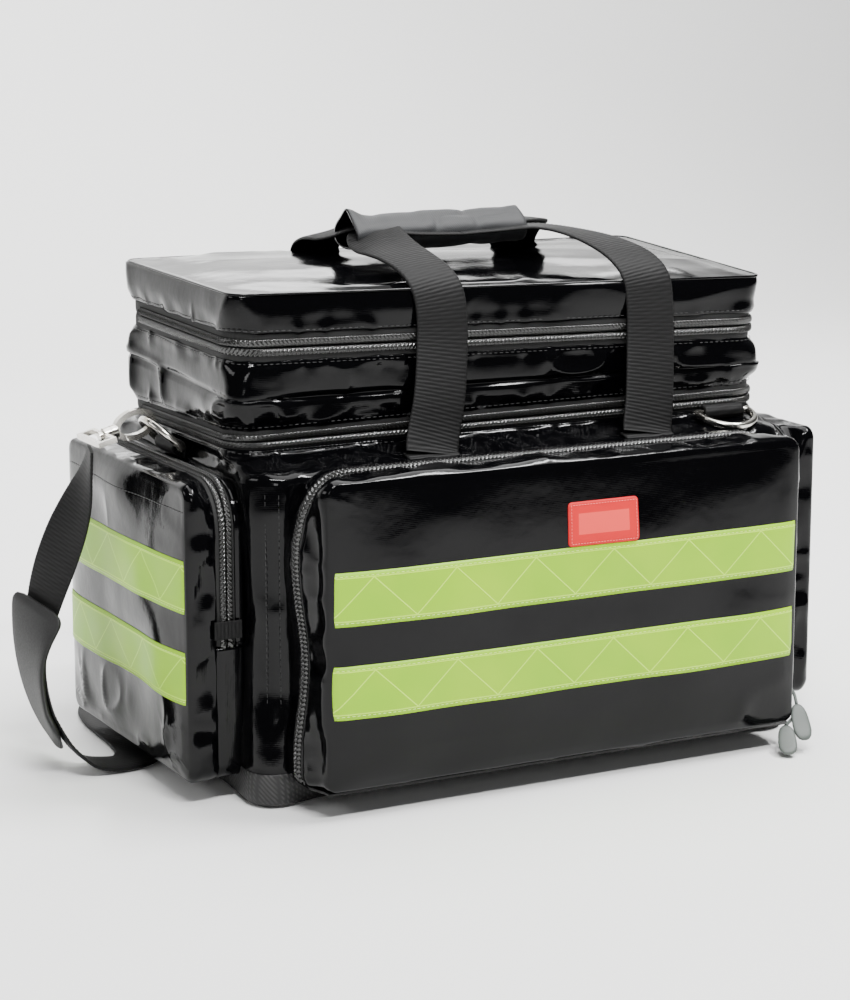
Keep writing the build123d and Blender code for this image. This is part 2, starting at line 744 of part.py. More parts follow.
front_slider_x = front_pocket_width / 2 + coil_proud + fit_gap
front_slider_low = (front_flap_bottom + 1.5, front_flap_bottom + 1.5 + slider_length + 1.0)
pull_routes = (
    (
        "lower", (front_slider_x + 1.7, -front_zip_split - slider_width / 2 - 1.5),
        (163.0, -160.0), (154.0, -190.0), 1.6,
    ),
    (
        "upper", (front_slider_x + slider_thickness + 1.5, -138.0),
        (175.0, -160.0), (166.0, -190.0), 5.4,
    ),
)
for (name, start, knee, tip, height), low in zip(pull_routes, front_slider_low):
    with BuildPart() as slider:
        box_between(
            (front_slider_x, -front_zip_split - slider_width / 2, low),
            (front_slider_x + slider_thickness, -front_zip_split + slider_width / 2, low + slider_length),
        )
        fillet(slider.edges().filter_by(Axis.X), 1.5)
    write(slider, f"front_{name}_slider")
    with BuildPart() as pull:
        top = Vector(*start, low + slider_length / 2)
        bend = Vector(*knee, height)
        cord_run = (bend - top).normalized()
        with BuildSketch(Plane(origin=top, z_dir=cord_run)) as cord:
            Circle(1.1)
        extrude(cord.sketch, amount=(bend - top).length)
        run = Vector(tip[0] - knee[0], tip[1] - knee[1], 0).normalized()
        tab_middle = bend + run * (tab_pull_length / 2 - 2)
        with BuildSketch(Plane(origin=tab_middle, x_dir=run, z_dir=(0, 0, 1))) as tab:
            RectangleRounded(tab_pull_length, tab_pull_width, 4.0)
        extrude(tab.sketch, amount=1.3, both=True)
    write(pull, f"front_{name}_pull")

# ---- shoulder strap -------------------------------------------------------------------------
left_eye = left_hook_plane.origin + left_hook_plane.x_dir * eye_bar_place
right_eye = right_hook_plane.origin + right_hook_plane.x_dir * eye_bar_place
sleeve_bore = 2.6
sleeve_radius = sleeve_bore + strap_thickness


def eye_sleeve(centre, direction):
    """Sewn end of the strap round a hook's eye."""
    with BuildSketch(Plane(origin=centre, z_dir=direction)) as ring:
        Circle(sleeve_radius)
        Circle(sleeve_bore, mode=Mode.SUBTRACT)
    extrude(ring.sketch, amount=strap_width / 2, both=True)


sleeve_foot = sleeve_radius - 0.6
left_route = [
    ((left_eye.X, 0, left_eye.Z - sleeve_foot), (0, 1, 0)),
    ((left_eye.X - 1, 0.3, left_eye.Z - 15), (0, 1, 0)),
    ((-253, 5, 170), (0.05, 1, 0)),
    ((-261, 17, 140), (0.15, 1, 0)),
    ((-269, 30, 104), (0.25, 1, 0)),
    ((-274, 33, 70), (0.2, 1, 0)),
    ((-272, 22, 40), (0.1, 1, 0.1)),
    ((-265, 6, 20), (0.05, 1, 0.1)),
    ((-257, -1, 9.5), (0, 1, 0)),
    ((-250, -1, 4.8), (0, 1, 0)),
]
floor_route = [
    ((-248.6, -1, 4.1), (0, 1, 0)),
    ((-236, -1, 2.2), (0.1, 1, 0)),
    ((-222, 2, 1.7), (-0.45, 0.9, 0)),
    ((-212, 16, 1.7), (-0.9, 0.4, 0)),
    ((-208, 38, 1.7), (-1, 0.1, 0)),
    ((-207, 66, 1.7), (-1, 0, 0)),
    ((-205, 98, 1.7), (-1, -0.1, 0)),
    ((-198, 126, 1.7), (-0.9, -0.3, 0)),
    ((-180, 150, 1.7), (-0.7, -0.7, 0)),
    ((-152, 166, 1.7), (-0.4, -0.9, 0)),
    ((-112, 175, 1.7), (-0.1, -1, 0)),
    ((-62, 177, 1.7), (0, -1, 0)),
    ((-10, 175, 1.7), (0.02, -1, 0)),
    ((42, 172, 1.7), (0, -1, 0)),
    ((92, 173, 1.7), (-0.05, -1, 0)),
    ((136, 178, 1.7), (-0.15, -1, 0)),
    ((170, 179, 1.7), (0.2, -1, 0)),
    ((193, 168, 1.8), (-0.63, -0.78, 0)),
    ((206, 150, 2.6), (-0.83, -0.55, 0)),
    ((213, 138, 8), (-0.9, -0.44, 0)),
    ((217, 130, 21), (-0.97, -0.2, 0)),
    ((220, 124, 46), (-1, 0, 0)),
    ((223, 121, 84), (-1, -0.02, 0)),
    ((225, 119, 124), (-1, -0.03, 0)),
    ((227, 117, 160), (-1, -0.04, 0)),
    ((229, 114, 185), (-1, -0.05, 0)),
    ((232, 107, 198), (-1, -0.06, 0)),
    ((235, 95, 203), (-1, 0.02, 0)),
    ((240, 82, 204.4), (-0.97, 0.15, 0)),
    ((243.5, 69, 204.6), (-0.9, 0.4, 0)),
    ((245, 58, 205), (-0.8, 0.6, 0)),
    ((242.5, 49, 207.5), (-0.7, 0.7, -0.15)),
    ((right_eye.X + 1.6, right_eye.Y + 1.8, right_eye.Z - sleeve_foot - 0.5), (-0.66, 0.71, -0.24)),
]

with BuildPart() as strap_webbing_hanging:
    eye_sleeve(left_eye, Vector(0, 1, 0))
    ribbon(left_route, strap_width, strap_thickness)
write(strap_webbing_hanging, "strap_webbing_hanging")

with BuildPart() as strap_webbing_lying:
    eye_sleeve(right_eye, right_hook_plane.z_dir)
    ribbon(floor_route, strap_width, strap_thickness)
write(strap_webbing_lying, "strap_webbing_lying")

with BuildPart() as shoulder_pad:
    pad_lift = strap_thickness / 2 + pad_thickness / 2 + pad_gap
    ribbon(left_route[4:8], pad_width, pad_thickness, -pad_lift)
write(shoulder_pad, "shoulder_pad")

adjuster_clear = 3.2
with BuildPart() as strap_adjuster:
    adjuster_plane = Plane(origin=(17, 173.5, 0), x_dir=(1, -0.058, 0), z_dir=(0, 0, 1))
    with BuildSketch(adjuster_plane.offset(adjuster_clear)) as ladder:
        RectangleRounded(26.0, strap_width + 11.0, 3.0)
        with Locations((-6.5, 0), (6.5, 0)):
            Rectangle(7.0, strap_width + 3.0, mode=Mode.SUBTRACT)
    extrude(ladder.sketch, amount=2.6)
    with BuildSketch(adjuster_plane) as rails:
        with Locations((0, strap_width / 2 + 3.5), (0, -strap_width / 2 - 3.5)):
            Rectangle(20.0, 3.6)
    extrude(rails.sketch, amount=adjuster_clear)
write(strap_adjuster, "strap_adjuster")
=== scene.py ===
"""Emergency responder's holdall: coated fabric, coil zips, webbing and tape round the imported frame."""

import bmesh
import bpy
import numpy as np
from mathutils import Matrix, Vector


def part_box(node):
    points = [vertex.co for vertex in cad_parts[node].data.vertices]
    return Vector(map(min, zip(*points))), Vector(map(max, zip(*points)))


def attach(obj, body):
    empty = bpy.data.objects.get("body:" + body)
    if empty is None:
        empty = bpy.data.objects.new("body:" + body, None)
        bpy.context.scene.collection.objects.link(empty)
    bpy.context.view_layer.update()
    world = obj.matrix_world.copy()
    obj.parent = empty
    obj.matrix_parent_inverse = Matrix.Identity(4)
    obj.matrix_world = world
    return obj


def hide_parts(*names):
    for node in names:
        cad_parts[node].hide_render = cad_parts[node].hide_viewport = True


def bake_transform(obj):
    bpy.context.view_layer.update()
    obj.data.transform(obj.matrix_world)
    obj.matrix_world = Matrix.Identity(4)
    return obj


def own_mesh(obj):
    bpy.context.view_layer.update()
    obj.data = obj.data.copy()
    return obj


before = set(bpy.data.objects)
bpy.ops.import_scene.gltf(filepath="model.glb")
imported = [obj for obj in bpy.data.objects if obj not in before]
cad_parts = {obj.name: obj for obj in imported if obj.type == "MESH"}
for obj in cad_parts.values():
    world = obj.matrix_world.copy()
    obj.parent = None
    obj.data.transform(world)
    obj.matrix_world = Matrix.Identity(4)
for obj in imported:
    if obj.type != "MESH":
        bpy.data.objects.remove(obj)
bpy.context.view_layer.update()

MM = 0.001
TURN = 6.2832  # one full turn in radians


def extent(node):
    """Lowest and highest corners of a CAD node, in millimetres."""
    low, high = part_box(node)
    return np.array(low) / MM, np.array(high) / MM


# ---- sizes read from the frame, in millimetres ------------------------------------------------
BODY = extent("main_shell")
LID = extent("upper_box_shell")
COVER = extent("top_cover")
MOUTH_TAPE = extent("main_zip_lower")
FRONT = extent("front_pocket_cover")
SIDE = extent("right_pocket_flap")
SIDE_BASE = extent("right_pocket_base")
GRIP = extent("grip_wrap")
CORNER = 22.0
ARCH = 28.0
FACE_CORNER = 8.0
LOWER_SPLIT = (LID[0][2] + MOUTH_TAPE[0][2]) / 2
UPPER_SPLIT = (LID[1][2] + COVER[0][2]) / 2
COIL_PITCH = 2.7
RIB_PITCH = 2.4
WALL = 2.4
HANDLE_WIDTH = 35.0
STRAP_WIDTH = 30.0
UPPER_BAND = (118, 150)
LOWER_BAND = (62.5, 94.5)
LABEL_AT = (18.5, 163.8)
LABEL_HALF = (24.5, 13.5)

# ---- camera, floor and light ------------------------------------------------------------------
camera_data = bpy.data.cameras.new("camera")
camera_data.sensor_width = 36.0
camera_data.lens = 94.08
camera_data.clip_end = 50.0
camera = bpy.data.objects.new("camera", camera_data)
bpy.context.scene.collection.objects.link(camera)
camera.location = Vector((-797.6, -1482.9, 489.8)) * MM
camera.rotation_euler = Vector((0.4574, 0.8668, -0.1985)).to_track_quat("-Z", "Y").to_euler()
bpy.context.scene.camera = camera


def linear(code):
    """Linear colour of an sRGB hex code such as "1a2b3c"."""
    parts = np.array([int(code[i:i + 2], 16) for i in (0, 2, 4)]) / 255
    low = parts / 12.92
    high = ((parts + 0.055) / 1.055) ** 2.4
    return (*np.where(parts <= 0.04045, low, high).tolist(), 1.0)


def add(tree, kind, inputs=None, **settings):
    """Add one node. Each of its inputs takes a value or another node's output."""
    made = tree.nodes.new(kind)
    for key, value in settings.items():
        setattr(made, key, value)
    for socket, value in (inputs or {}).items():
        if isinstance(value, bpy.types.NodeSocket):
            tree.links.new(value, made.inputs[socket])
        else:
            made.inputs[socket].default_value = value
    return made


def soft_box(name, place, aim, size, power):
    """Rectangular studio light at place, facing aim, in metres and watts."""
    data = bpy.data.lights.new(name, "AREA")
    data.shape = "RECTANGLE"
    data.size, data.size_y = size
    data.energy = power
    light = bpy.data.objects.new(name, data)
    bpy.context.scene.collection.objects.link(light)
    light.location = place
    light.rotation_euler = (Vector(aim) - Vector(place)).to_track_quat("-Z", "Y").to_euler()


soft_box("overhead", (0.45, 0.05, 2.0), (0.35, 0.05, 0.1), (2.2, 1.6), 66)
soft_box("left_wall", (-2.0, 0.2, 1.2), (0, 0, 0.15), (1.0, 0.5), 9)
soft_box("front_strip", (-0.3, -1.2, 1.7), (0, 0, 0.2), (1.0, 0.09), 46)
soft_box("low_front", (-0.9, -1.9, 0.75), (0, 0, 0.2), (0.35, 0.5), 5)
soft_box("right_strip", (0.95, -0.5, 2.0), (0.1, -0.1, 0.2), (0.9, 0.14), 44)
soft_box("rear_fill", (0.8, 1.9, 1.3), (0, 0.2, 0.1), (1.2, 0.6), 14)
soft_box("backdrop_wash", (0.0, 0.6, 1.9), (0, 2.6, 1.0), (3.0, 0.5), 66)


# ---- surfaces on a grid -----------------------------------------------------------------------
def soft_noise(points, size, seed):
    """Smooth noise from -1 to 1: random values on a lattice of the given cell size, eased between."""
    table = np.random.default_rng(seed).uniform(-1, 1, 4099)
    cell = points / np.asarray(size, float)
    base = np.floor(cell).astype(int)
    part = cell - base
    part = part * part * (3 - 2 * part)
    total = np.zeros(points.shape[:-1])
    for i in (0, 1):
        for j in (0, 1):
            for k in (0, 1):
                corner = base + (i, j, k)
                mixed = corner[..., 0] * 73 + corner[..., 1] * 157 + corner[..., 2] * 311
                weight = np.abs(1 - i - part[..., 0]) * np.abs(1 - j - part[..., 1])
                total += table[mixed % 4099] * weight * np.abs(1 - k - part[..., 2])
    return total


def ease(value, low, high):
    """Smooth step from 0 at low to 1 at high."""
    part = np.clip((value - low) / (high - low), 0, 1)
    return part * part * (3 - 2 * part)


def ring_samples(long_count, short_count, corner_count):
    """Centre signs and outward directions round a rounded rectangle, anticlockwise from rear left."""
    corners = [(-1, 1, 90), (-1, -1, 180), (1, -1, 270), (1, 1, 360)]
    parts = []
    counts = (short_count, long_count, short_count, long_count)
    for (x, y, start), (x2, y2, _), count in zip(corners, corners[1:] + corners[:1], counts):
        angle = np.radians(start + 90 * np.arange(corner_count) / corner_count)
        parts.append(np.stack([x + 0 * angle, y + 0 * angle, np.cos(angle), np.sin(angle)]))
        share = np.arange(count) / count
        end = np.radians(start + 90)
        facing = np.cos(end) + 0 * share, np.sin(end) + 0 * share
        parts.append(np.stack([x + (x2 - x) * share, y + (y2 - y) * share, *facing]))
    return np.concatenate(parts, axis=1)


def loop_grid(samples, half, low, high, low_radius, high_radius, depth):
    """Rows of loops in (across, up, outward) places, with one corner radius low down and one high up."""
    sign_u, sign_v, out_u, out_v = samples
    rows = np.broadcast_arrays(half, low, high, low_radius, high_radius, depth)
    a, lo, hi, r0, r1, w = (np.asarray(v, float).reshape(-1, 1) for v in rows)
    middle, rise = (lo + hi) / 2, (hi - lo) / 2
    r = r0 + (r1 - r0) * (sign_v + 1) / 2
    u = (a - r) * sign_u + r * out_u
    v = middle + (rise - r) * sign_v + r * out_v
    return np.stack([u, v, w + 0 * u], axis=2)


def loop_rows(samples, loop, offset, depth):
    """Rows of one loop, each set outwards by its offset and standing at its depth."""
    half, low, high, low_radius, high_radius = loop
    return loop_grid(
        samples, half + offset, low - offset, high + offset,
        low_radius + offset, high_radius + offset, depth,
    )


def open_arch(samples):
    """Samples of a loop without its bottom run: from the right foot, over the top, to the left."""
    sign_v, out_v = samples[1], samples[3]
    bottom = np.flatnonzero((sign_v == -1) & (out_v < -0.999))
    start = bottom[-1] + 1
    turned = np.roll(samples, -start, axis=1)
    return turned[:, : samples.shape[1] - len(bottom)]


def unit(vectors):
    """Vectors scaled to a length of one."""
    return vectors / np.maximum(np.linalg.norm(vectors, axis=-1, keepdims=True), 1e-9)


def lengths(path):
    """Distance from the start of a path to each of its places."""
    steps = np.linalg.norm(np.diff(path, axis=0), axis=1)
    return np.concatenate([[0], np.cumsum(steps)])


def rounded(wave, power):
    """A sine or cosine drawn out towards a square: its size raised to a power, with its own sign."""
    return np.sign(wave) * np.abs(wave) ** power


def normals(grid, closed):
    """Unit normals: step round the columns crossed with step along the rows."""
    along = np.gradient(grid, axis=0)
    if closed:
        around = np.roll(grid, -1, axis=1) - np.roll(grid, 1, axis=1)
    else:
        around = np.gradient(grid, axis=1)
    return unit(np.cross(around, along))


def sway(u, v, w):
    """Wander of the front pocket's upright zip lines: a slow sine of height, gone at the face's fold."""
    upright = ease(np.abs(u), 110, 160) * (1 - ease(w, 140, 157))
    held = 1 - ease(v, 162, 195)
    return np.sign(u) * (2.4 + 2.8 * np.cos(TURN * (v - 150) / 120)) * upright * held


def onto(face, grid):
    """Turn (across, up, outward) places on the front, left or right face into row-frame places."""
    u, v, w = grid[..., 0], grid[..., 1], grid[..., 2]
    if face == "front":
        return np.stack([u + sway(u, v, w), -w, v], axis=-1)
    side = -1 if face == "left" else 1
    return np.stack([side * w, side * u, v], axis=-1)


def settle(points):
    """The filled lid leans: its front right corner sinks and its rear rises, more with height."""
    x, y, z = points[..., 0], points[..., 1], points[..., 2]
    right = np.clip((x / LID[1][0] + 1) / 2, 0, 1)
    rear = np.clip((y / LID[1][1] + 1) / 2, 0, 1)
    lean = (
        1.0 * (1 - right) * (1 - rear) - 7.5 * right * (1 - rear)
        + 5.5 * (1 - right) * rear + 3.5 * right * rear
    )
    low_lean = -3.0 * (1 - right) * (1 - rear) - 4.5 * (1 - right) * rear
    share = ease(z, LID[0][2] - 3, LID[1][2])
    low_share = ease(z, MOUTH_TAPE[0][2], LID[0][2] - 3) * (1 - share)
    moved = points.copy()
    moved[..., 2] += lean * share + low_lean * low_share
    return moved


def placed(grid, face=None, lean=False):
    """Put a grid on one of the bag's faces, or let it lean with the lid."""
    if face:
        return onto(face, grid)
    return settle(grid) if lean else grid


def new_piece(name, mesh, material):
    """Smooth-shaded object of a mesh, in the scene, with its first material."""
    mesh.polygons.foreach_set("use_smooth", np.ones(len(mesh.polygons), bool))
    piece = bpy.data.objects.new(name, mesh)
    bpy.context.scene.collection.objects.link(piece)
    mesh.materials.append(material)
    return piece


def grid_piece(
    name, grid, material, closed=False, ring=False, uv=None, inner=None, wall=0.0, weld=False
):
    """Mesh of a grid of places in millimetres. closed joins its last column to its first, ring its last row
    to its first.

    A wall is laid inwards, with the inner material on its far side.
    """
    rows, columns = grid.shape[:2]
    i = np.arange(rows if ring else rows - 1)[:, None]
    j = np.arange(columns if closed else columns - 1)[None, :]
    i2, j2 = (i + 1) % rows, (j + 1) % columns
    quads = np.stack([i * columns + j, i * columns + j2, i2 * columns + j2, i2 * columns + j], axis=2)
    mesh = bpy.data.meshes.new(name)
    mesh.from_pydata((grid.reshape(-1, 3) * MM).tolist(), [], quads.reshape(-1, 4).tolist())
    if uv is not None:
        ui, uj = np.broadcast_arrays(i, j)
        corners = np.stack([uv[ui, uj], uv[ui, uj + 1], uv[ui + 1, uj + 1], uv[ui + 1, uj]], axis=2)
        layer = mesh.uv_layers.new(name="UVMap")
        layer.data.foreach_set("uv", corners.reshape(-1).astype(np.float32))
    piece = new_piece(name, mesh, material)
    if weld:
        work = bmesh.new()
        work.from_mesh(mesh)
        bmesh.ops.remove_doubles(work, verts=work.verts, dist=1e-6)
        bmesh.ops.dissolve_degenerate(work, edges=work.edges, dist=1e-7)
        work.to_mesh(mesh)
        work.free()
    if wall:
        mesh.materials.append(inner)
        solid = piece.modifiers.new("wall", "SOLIDIFY")
        solid.thickness = wall * MM
        solid.offset = -1
        solid.material_offset = 1
        solid.material_offset_rim = 0
        apply_modifiers(piece)
    return piece


def apply_modifiers(piece):
    """Make the result of a piece's modifiers its own mesh."""
    graph = bpy.context.evaluated_depsgraph_get()
    done = bpy.data.meshes.new_from_object(piece.evaluated_get(graph))
    piece.modifiers.clear()
    piece.data = done


def settle_in(piece, body, slot, *nodes):
    """Ride on a body and stand for CAD nodes. The slot argument is not used."""
    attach(piece, body)
    if nodes:
        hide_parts(*nodes)
    return piece


def resample(path, step, closed=False):
    """Places spaced evenly along a path."""
    if closed:
        path = np.concatenate([path, path[:1]])
    length = lengths(path)
    count = max(int(length[-1] / step), 4)
    spots = np.linspace(0, length[-1], count, endpoint=not closed)
    return np.stack([np.interp(spots, length, path[:, k]) for k in range(3)], axis=1)


def tangents(path, closed=False):
    """Unit directions along a path."""
    if closed:
        run = np.roll(path, -1, axis=0) - np.roll(path, 1, axis=0)
    else:
        run = np.gradient(path, axis=0)
    return unit(run)


# ---- finishes ---------------------------------------------------------------------------------
def start_finish(name):
    """New material with its shader and object coordinates."""
    material = bpy.data.materials.new(name)
    material.use_nodes = True
    tree = material.node_tree
    shader = tree.nodes["Principled BSDF"]
    place = add(tree, "ShaderNodeTexCoord")
    return material, tree, shader, place


def link_bump(tree, shader, height, strength, distance_mm):
    """Bump from a height, with its depth in millimetres."""
    bump = add(
        tree, "ShaderNodeBump", {"Height": height, "Strength": strength, "Distance": distance_mm * MM}
    )
    tree.links.new(bump.outputs[0], shader.inputs["Normal"])


def band_scale(spacing):
    """Scale that stands a wave texture's bands the spacing in millimetres apart, within 2 per cent."""
    return 2 / (spacing * MM) / TURN


def coated_fabric():
    """PVC-coated polyester: a glossy film that still shows its scrim of threads about 1.1 mm apart."""
    material, tree, shader, place = start_finish("coated_fabric")
    shader.inputs["Base Color"].default_value = linear("030304")
    shader.inputs["IOR"].default_value = 1.26
    shader.inputs["Coat Weight"].default_value = 0.03
    shader.inputs["Coat Roughness"].default_value = 0.03
    waves = []
    for direction in ("X", "Y", "Z"):
        waves.append(add(
            tree, "ShaderNodeTexWave",
            {"Vector": place.outputs["Object"], "Scale": band_scale(1.1), "Distortion": 0.4},
            wave_type="BANDS", bands_direction=direction,
        ))
    first = add(tree, "ShaderNodeMath", {0: waves[0].outputs["Fac"], 1: waves[1].outputs["Fac"]})
    threads = add(tree, "ShaderNodeMath", {0: first.outputs[0], 1: waves[2].outputs["Fac"]})
    dents = add(
        tree, "ShaderNodeTexNoise",
        {"Vector": place.outputs["Object"], "Scale": 1 / (18 * MM), "Detail": 3.0, "Roughness": 0.5},
    )
    mixed = add(
        tree, "ShaderNodeMath",
        {0: dents.outputs["Fac"], 1: 56.0, 2: threads.outputs[0]}, operation="MULTIPLY_ADD",
    )
    link_bump(tree, shader, mixed.outputs[0], 0.6, 0.01)
    gloss = add(
        tree, "ShaderNodeMapRange",
        {"Value": dents.outputs["Fac"], "From Min": 0.3, "From Max": 0.7, "To Min": 0.06, "To Max": 0.13},
    )
    tree.links.new(gloss.outputs[0], shader.inputs["Roughness"])
    return material


def weave(name, code, light, spacing, depth, rough, sheen=0.0):
    """Woven cloth: two sets of threads at the given spacing in millimetres, darker between them."""
    material, tree, shader, place = start_finish(name)
    turned = add(
        tree, "ShaderNodeMapping", {"Vector": place.outputs["Object"], "Rotation": (0.5, 0.6, 0.785)}
    )
    threads = [
        add(
            tree, "ShaderNodeTexWave",
            {"Vector": turned.outputs[0], "Scale": band_scale(spacing), "Distortion": 0.6},
            wave_type="BANDS", bands_direction=direction,
        )
        for direction in ("X", "Y")
    ]
    cross = add(
        tree, "ShaderNodeMath", {0: threads[0].outputs["Fac"], 1: threads[1].outputs["Fac"]},
        operation="MULTIPLY",
    )
    tint = add(
        tree, "ShaderNodeMix", {"Factor": cross.outputs[0], "A": linear(code), "B": linear(light)},
        data_type="RGBA",
    )
    tree.links.new(tint.outputs["Result"], shader.inputs["Base Color"])
    shader.inputs["Roughness"].default_value = rough
    shader.inputs["Sheen Weight"].default_value = sheen
    link_bump(tree, shader, cross.outputs[0], 0.8, depth)
    return material


def webbing_finish():
    """Polyester webbing: matt yarns in a fine herringbone across the ribs that are in the mesh."""
    material, tree, shader, place = start_finish("polyester_webbing")
    yarn = add(
        tree, "ShaderNodeTexWave", {"Vector": place.outputs["UV"], "Scale": 160.0, "Distortion": 0.5},
        wave_type="BANDS", bands_direction="DIAGONAL",
    )
    patch = add(tree, "ShaderNodeTexNoise", {"Vector": place.outputs["Object"], "Scale": 60.0})
    blend = add(
        tree, "ShaderNodeMath", {0: yarn.outputs["Fac"], 1: patch.outputs["Fac"]}, operation="MULTIPLY"
    )
    tint = add(
        tree, "ShaderNodeMix",
        {"Factor": blend.outputs[0], "A": linear("010101"), "B": linear("0f0e0f")}, data_type="RGBA",
    )
    tree.links.new(tint.outputs["Result"], shader.inputs["Base Color"])
    shader.inputs["Roughness"].default_value = 0.66
    shader.inputs["IOR"].default_value = 1.35
    link_bump(tree, shader, yarn.outputs["Fac"], 0.5, 0.12)
    return material


def reflective_finish():
    """Microprismatic tape: lime film with welded zigzag ribs, an edge weld and a faint prism grid, lifted
    by a painted glow of its own colour.
    """
    material, tree, shader, place = start_finish("reflective_tape")
    parts = add(tree, "ShaderNodeSeparateXYZ", {"Vector": place.outputs["UV"]})
    along, across = parts.outputs["X"], parts.outputs["Y"]
    zigzag = add(tree, "ShaderNodeMath", {0: along, 1: 0.027}, operation="PINGPONG")
    aim = add(
        tree, "ShaderNodeMath", {0: zigzag.outputs[0], 1: 0.93, 2: 0.0035}, operation="MULTIPLY_ADD"
    )
    away = add(tree, "ShaderNodeMath", {0: across, 1: aim.outputs[0]}, operation="SUBTRACT")
    far = add(tree, "ShaderNodeMath", {0: away.outputs[0]}, operation="ABSOLUTE")
    rib = add(tree, "ShaderNodeMath", {0: far.outputs[0], 1: 0.00045}, operation="LESS_THAN")
    centred = add(tree, "ShaderNodeMath", {0: across, 1: 0.016}, operation="SUBTRACT")
    spread = add(tree, "ShaderNodeMath", {0: centred.outputs[0]}, operation="ABSOLUTE")
    edge = add(
        tree, "ShaderNodeMath", {0: spread.outputs[0], 1: 0.0128, 2: 0.0004}, operation="COMPARE"
    )
    lines = add(tree, "ShaderNodeMath", {0: rib.outputs[0], 1: edge.outputs[0]}, operation="MAXIMUM")
    prisms = add(
        tree, "ShaderNodeTexVoronoi", {"Vector": place.outputs["UV"], "Scale": 1 / (1.3 * MM)}
    )
    cloud = add(tree, "ShaderNodeTexNoise", {"Vector": place.outputs["UV"], "Scale": 16.0, "Detail": 2.0})
    base = add(
        tree, "ShaderNodeMix",
        {"Factor": cloud.outputs["Fac"], "A": linear("72b000"), "B": linear("a2ca04")}, data_type="RGBA",
    )
    tint = add(
        tree, "ShaderNodeMix",
        {"Factor": lines.outputs[0], "A": base.outputs["Result"], "B": linear("b8e040")}, data_type="RGBA",
    )
    tree.links.new(tint.outputs["Result"], shader.inputs["Base Color"])
    # Painted glow: the tape's own colour is fed to emission, so it shines a little though it is no lamp.
    tree.links.new(tint.outputs["Result"], shader.inputs["Emission Color"])
    shader.inputs["Emission Strength"].default_value = 0.12
    shader.inputs["Roughness"].default_value = 0.38
    shader.inputs["IOR"].default_value = 1.3
    raised = add(
        tree, "ShaderNodeMath", {0: prisms.outputs["Distance"], 1: 0.15, 2: lines.outputs[0]},
        operation="MULTIPLY_ADD",
    )
    link_bump(tree, shader, raised.outputs[0], 0.5, 0.15)
    return material


def label_finish():
    """Woven red patch with a plain pale field in its middle."""
    material, tree, shader, place = start_finish("label_patch_cloth")
    parts = add(tree, "ShaderNodeSeparateXYZ", {"Vector": place.outputs["UV"]})
    wide = add(tree, "ShaderNodeMath", {0: parts.outputs["X"], 1: 0.5, 2: 0.36}, operation="COMPARE")
    tall = add(tree, "ShaderNodeMath", {0: parts.outputs["Y"], 1: 0.5, 2: 0.24}, operation="COMPARE")
    field = add(tree, "ShaderNodeMath", {0: wide.outputs[0], 1: tall.outputs[0]}, operation="MULTIPLY")
    tint = add(
        tree, "ShaderNodeMix",
        {"Factor": field.outputs[0], "A": linear("cc0008"), "B": linear("e84038")}, data_type="RGBA",
    )
    threads = add(
        tree, "ShaderNodeTexWave",
        {"Vector": place.outputs["Object"], "Scale": band_scale(0.8), "Distortion": 0.3},
        wave_type="BANDS", bands_direction="Z",
    )
    tree.links.new(tint.outputs["Result"], shader.inputs["Base Color"])
    shader.inputs["Roughness"].default_value = 0.7
    link_bump(tree, shader, threads.outputs["Fac"], 0.4, 0.08)
    return material


def plain(name, code, rough, metallic=0.0, grain=0.4, depth=0.03, coat=0.0):
    """Moulded, cast or plated surface with a fine grain, its spacing in millimetres."""
    material, tree, shader, place = start_finish(name)
    noise = add(
        tree, "ShaderNodeTexNoise",
        {"Vector": place.outputs["Object"], "Scale": 1 / (grain * MM), "Detail": 2.0},
    )
    shader.inputs["Base Color"].default_value = linear(code)
    shader.inputs["Metallic"].default_value = metallic
    shader.inputs["Coat Weight"].default_value = coat
    low_high = add(
        tree, "ShaderNodeMapRange",
        {"Value": noise.outputs["Fac"], "To Min": rough * 0.8, "To Max": rough * 1.2},
    )
    tree.links.new(low_high.outputs[0], shader.inputs["Roughness"])
    link_bump(tree, shader, noise.outputs["Fac"], 0.4, depth)
    return material


PVC = coated_fabric()
BASE_WEAVE = weave("ballistic_nylon", "0c0c0d", "343333", 2.2, 0.35, 0.55)
LINING = weave("nylon_lining", "101113", "26282b", 0.9, 0.08, 0.6, sheen=0.1)
TAPE = weave("zip_tape_twill", "080808", "1b1b1a", 0.9, 0.12, 0.8, sheen=0.05)
COIL = plain("nylon_coil", "20201f", 0.2, grain=0.8, coat=0.4)
WEBBING = webbing_finish()
REFLECTIVE = reflective_finish()
LABEL = label_finish()
THREAD = plain("bonded_thread", "2b2b2b", 0.45, grain=0.5)
RED_THREAD = plain("red_thread", "f07a78", 0.6, grain=0.5)
LIME_THREAD = plain("lime_thread", "d8f58c", 0.5, grain=0.5)
NICKEL = plain("nickel_plated_zinc", "d4d1ca", 0.2, metallic=1.0, grain=2.5)
BLACK_METAL = plain("black_painted_zinc", "101010", 0.3, grain=0.6, coat=0.3)
RUBBER = plain("moulded_grey_rubber", "4a504c", 0.5, grain=0.5)
BLACK_RUBBER = plain("moulded_black_rubber", "131313", 0.45, grain=0.5)
ACETAL = plain("moulded_acetal", "161616", 0.35, grain=0.7)
BOARD = plain("fluted_board", "1c1d1f", 0.5, grain=1.5)
PAD_SKIN = plain("moulded_foam_skin", "090909", 0.6, grain=1.2, depth=0.08)


# ---- soft shapes shared by the pieces ---------------------------------------------------------
def creases(points, size, seed):
    """Sharp folds where smooth noise crosses zero: one minus its size, to the fifth power."""
    return (1 - np.abs(soft_noise(points, size, seed))) ** 5


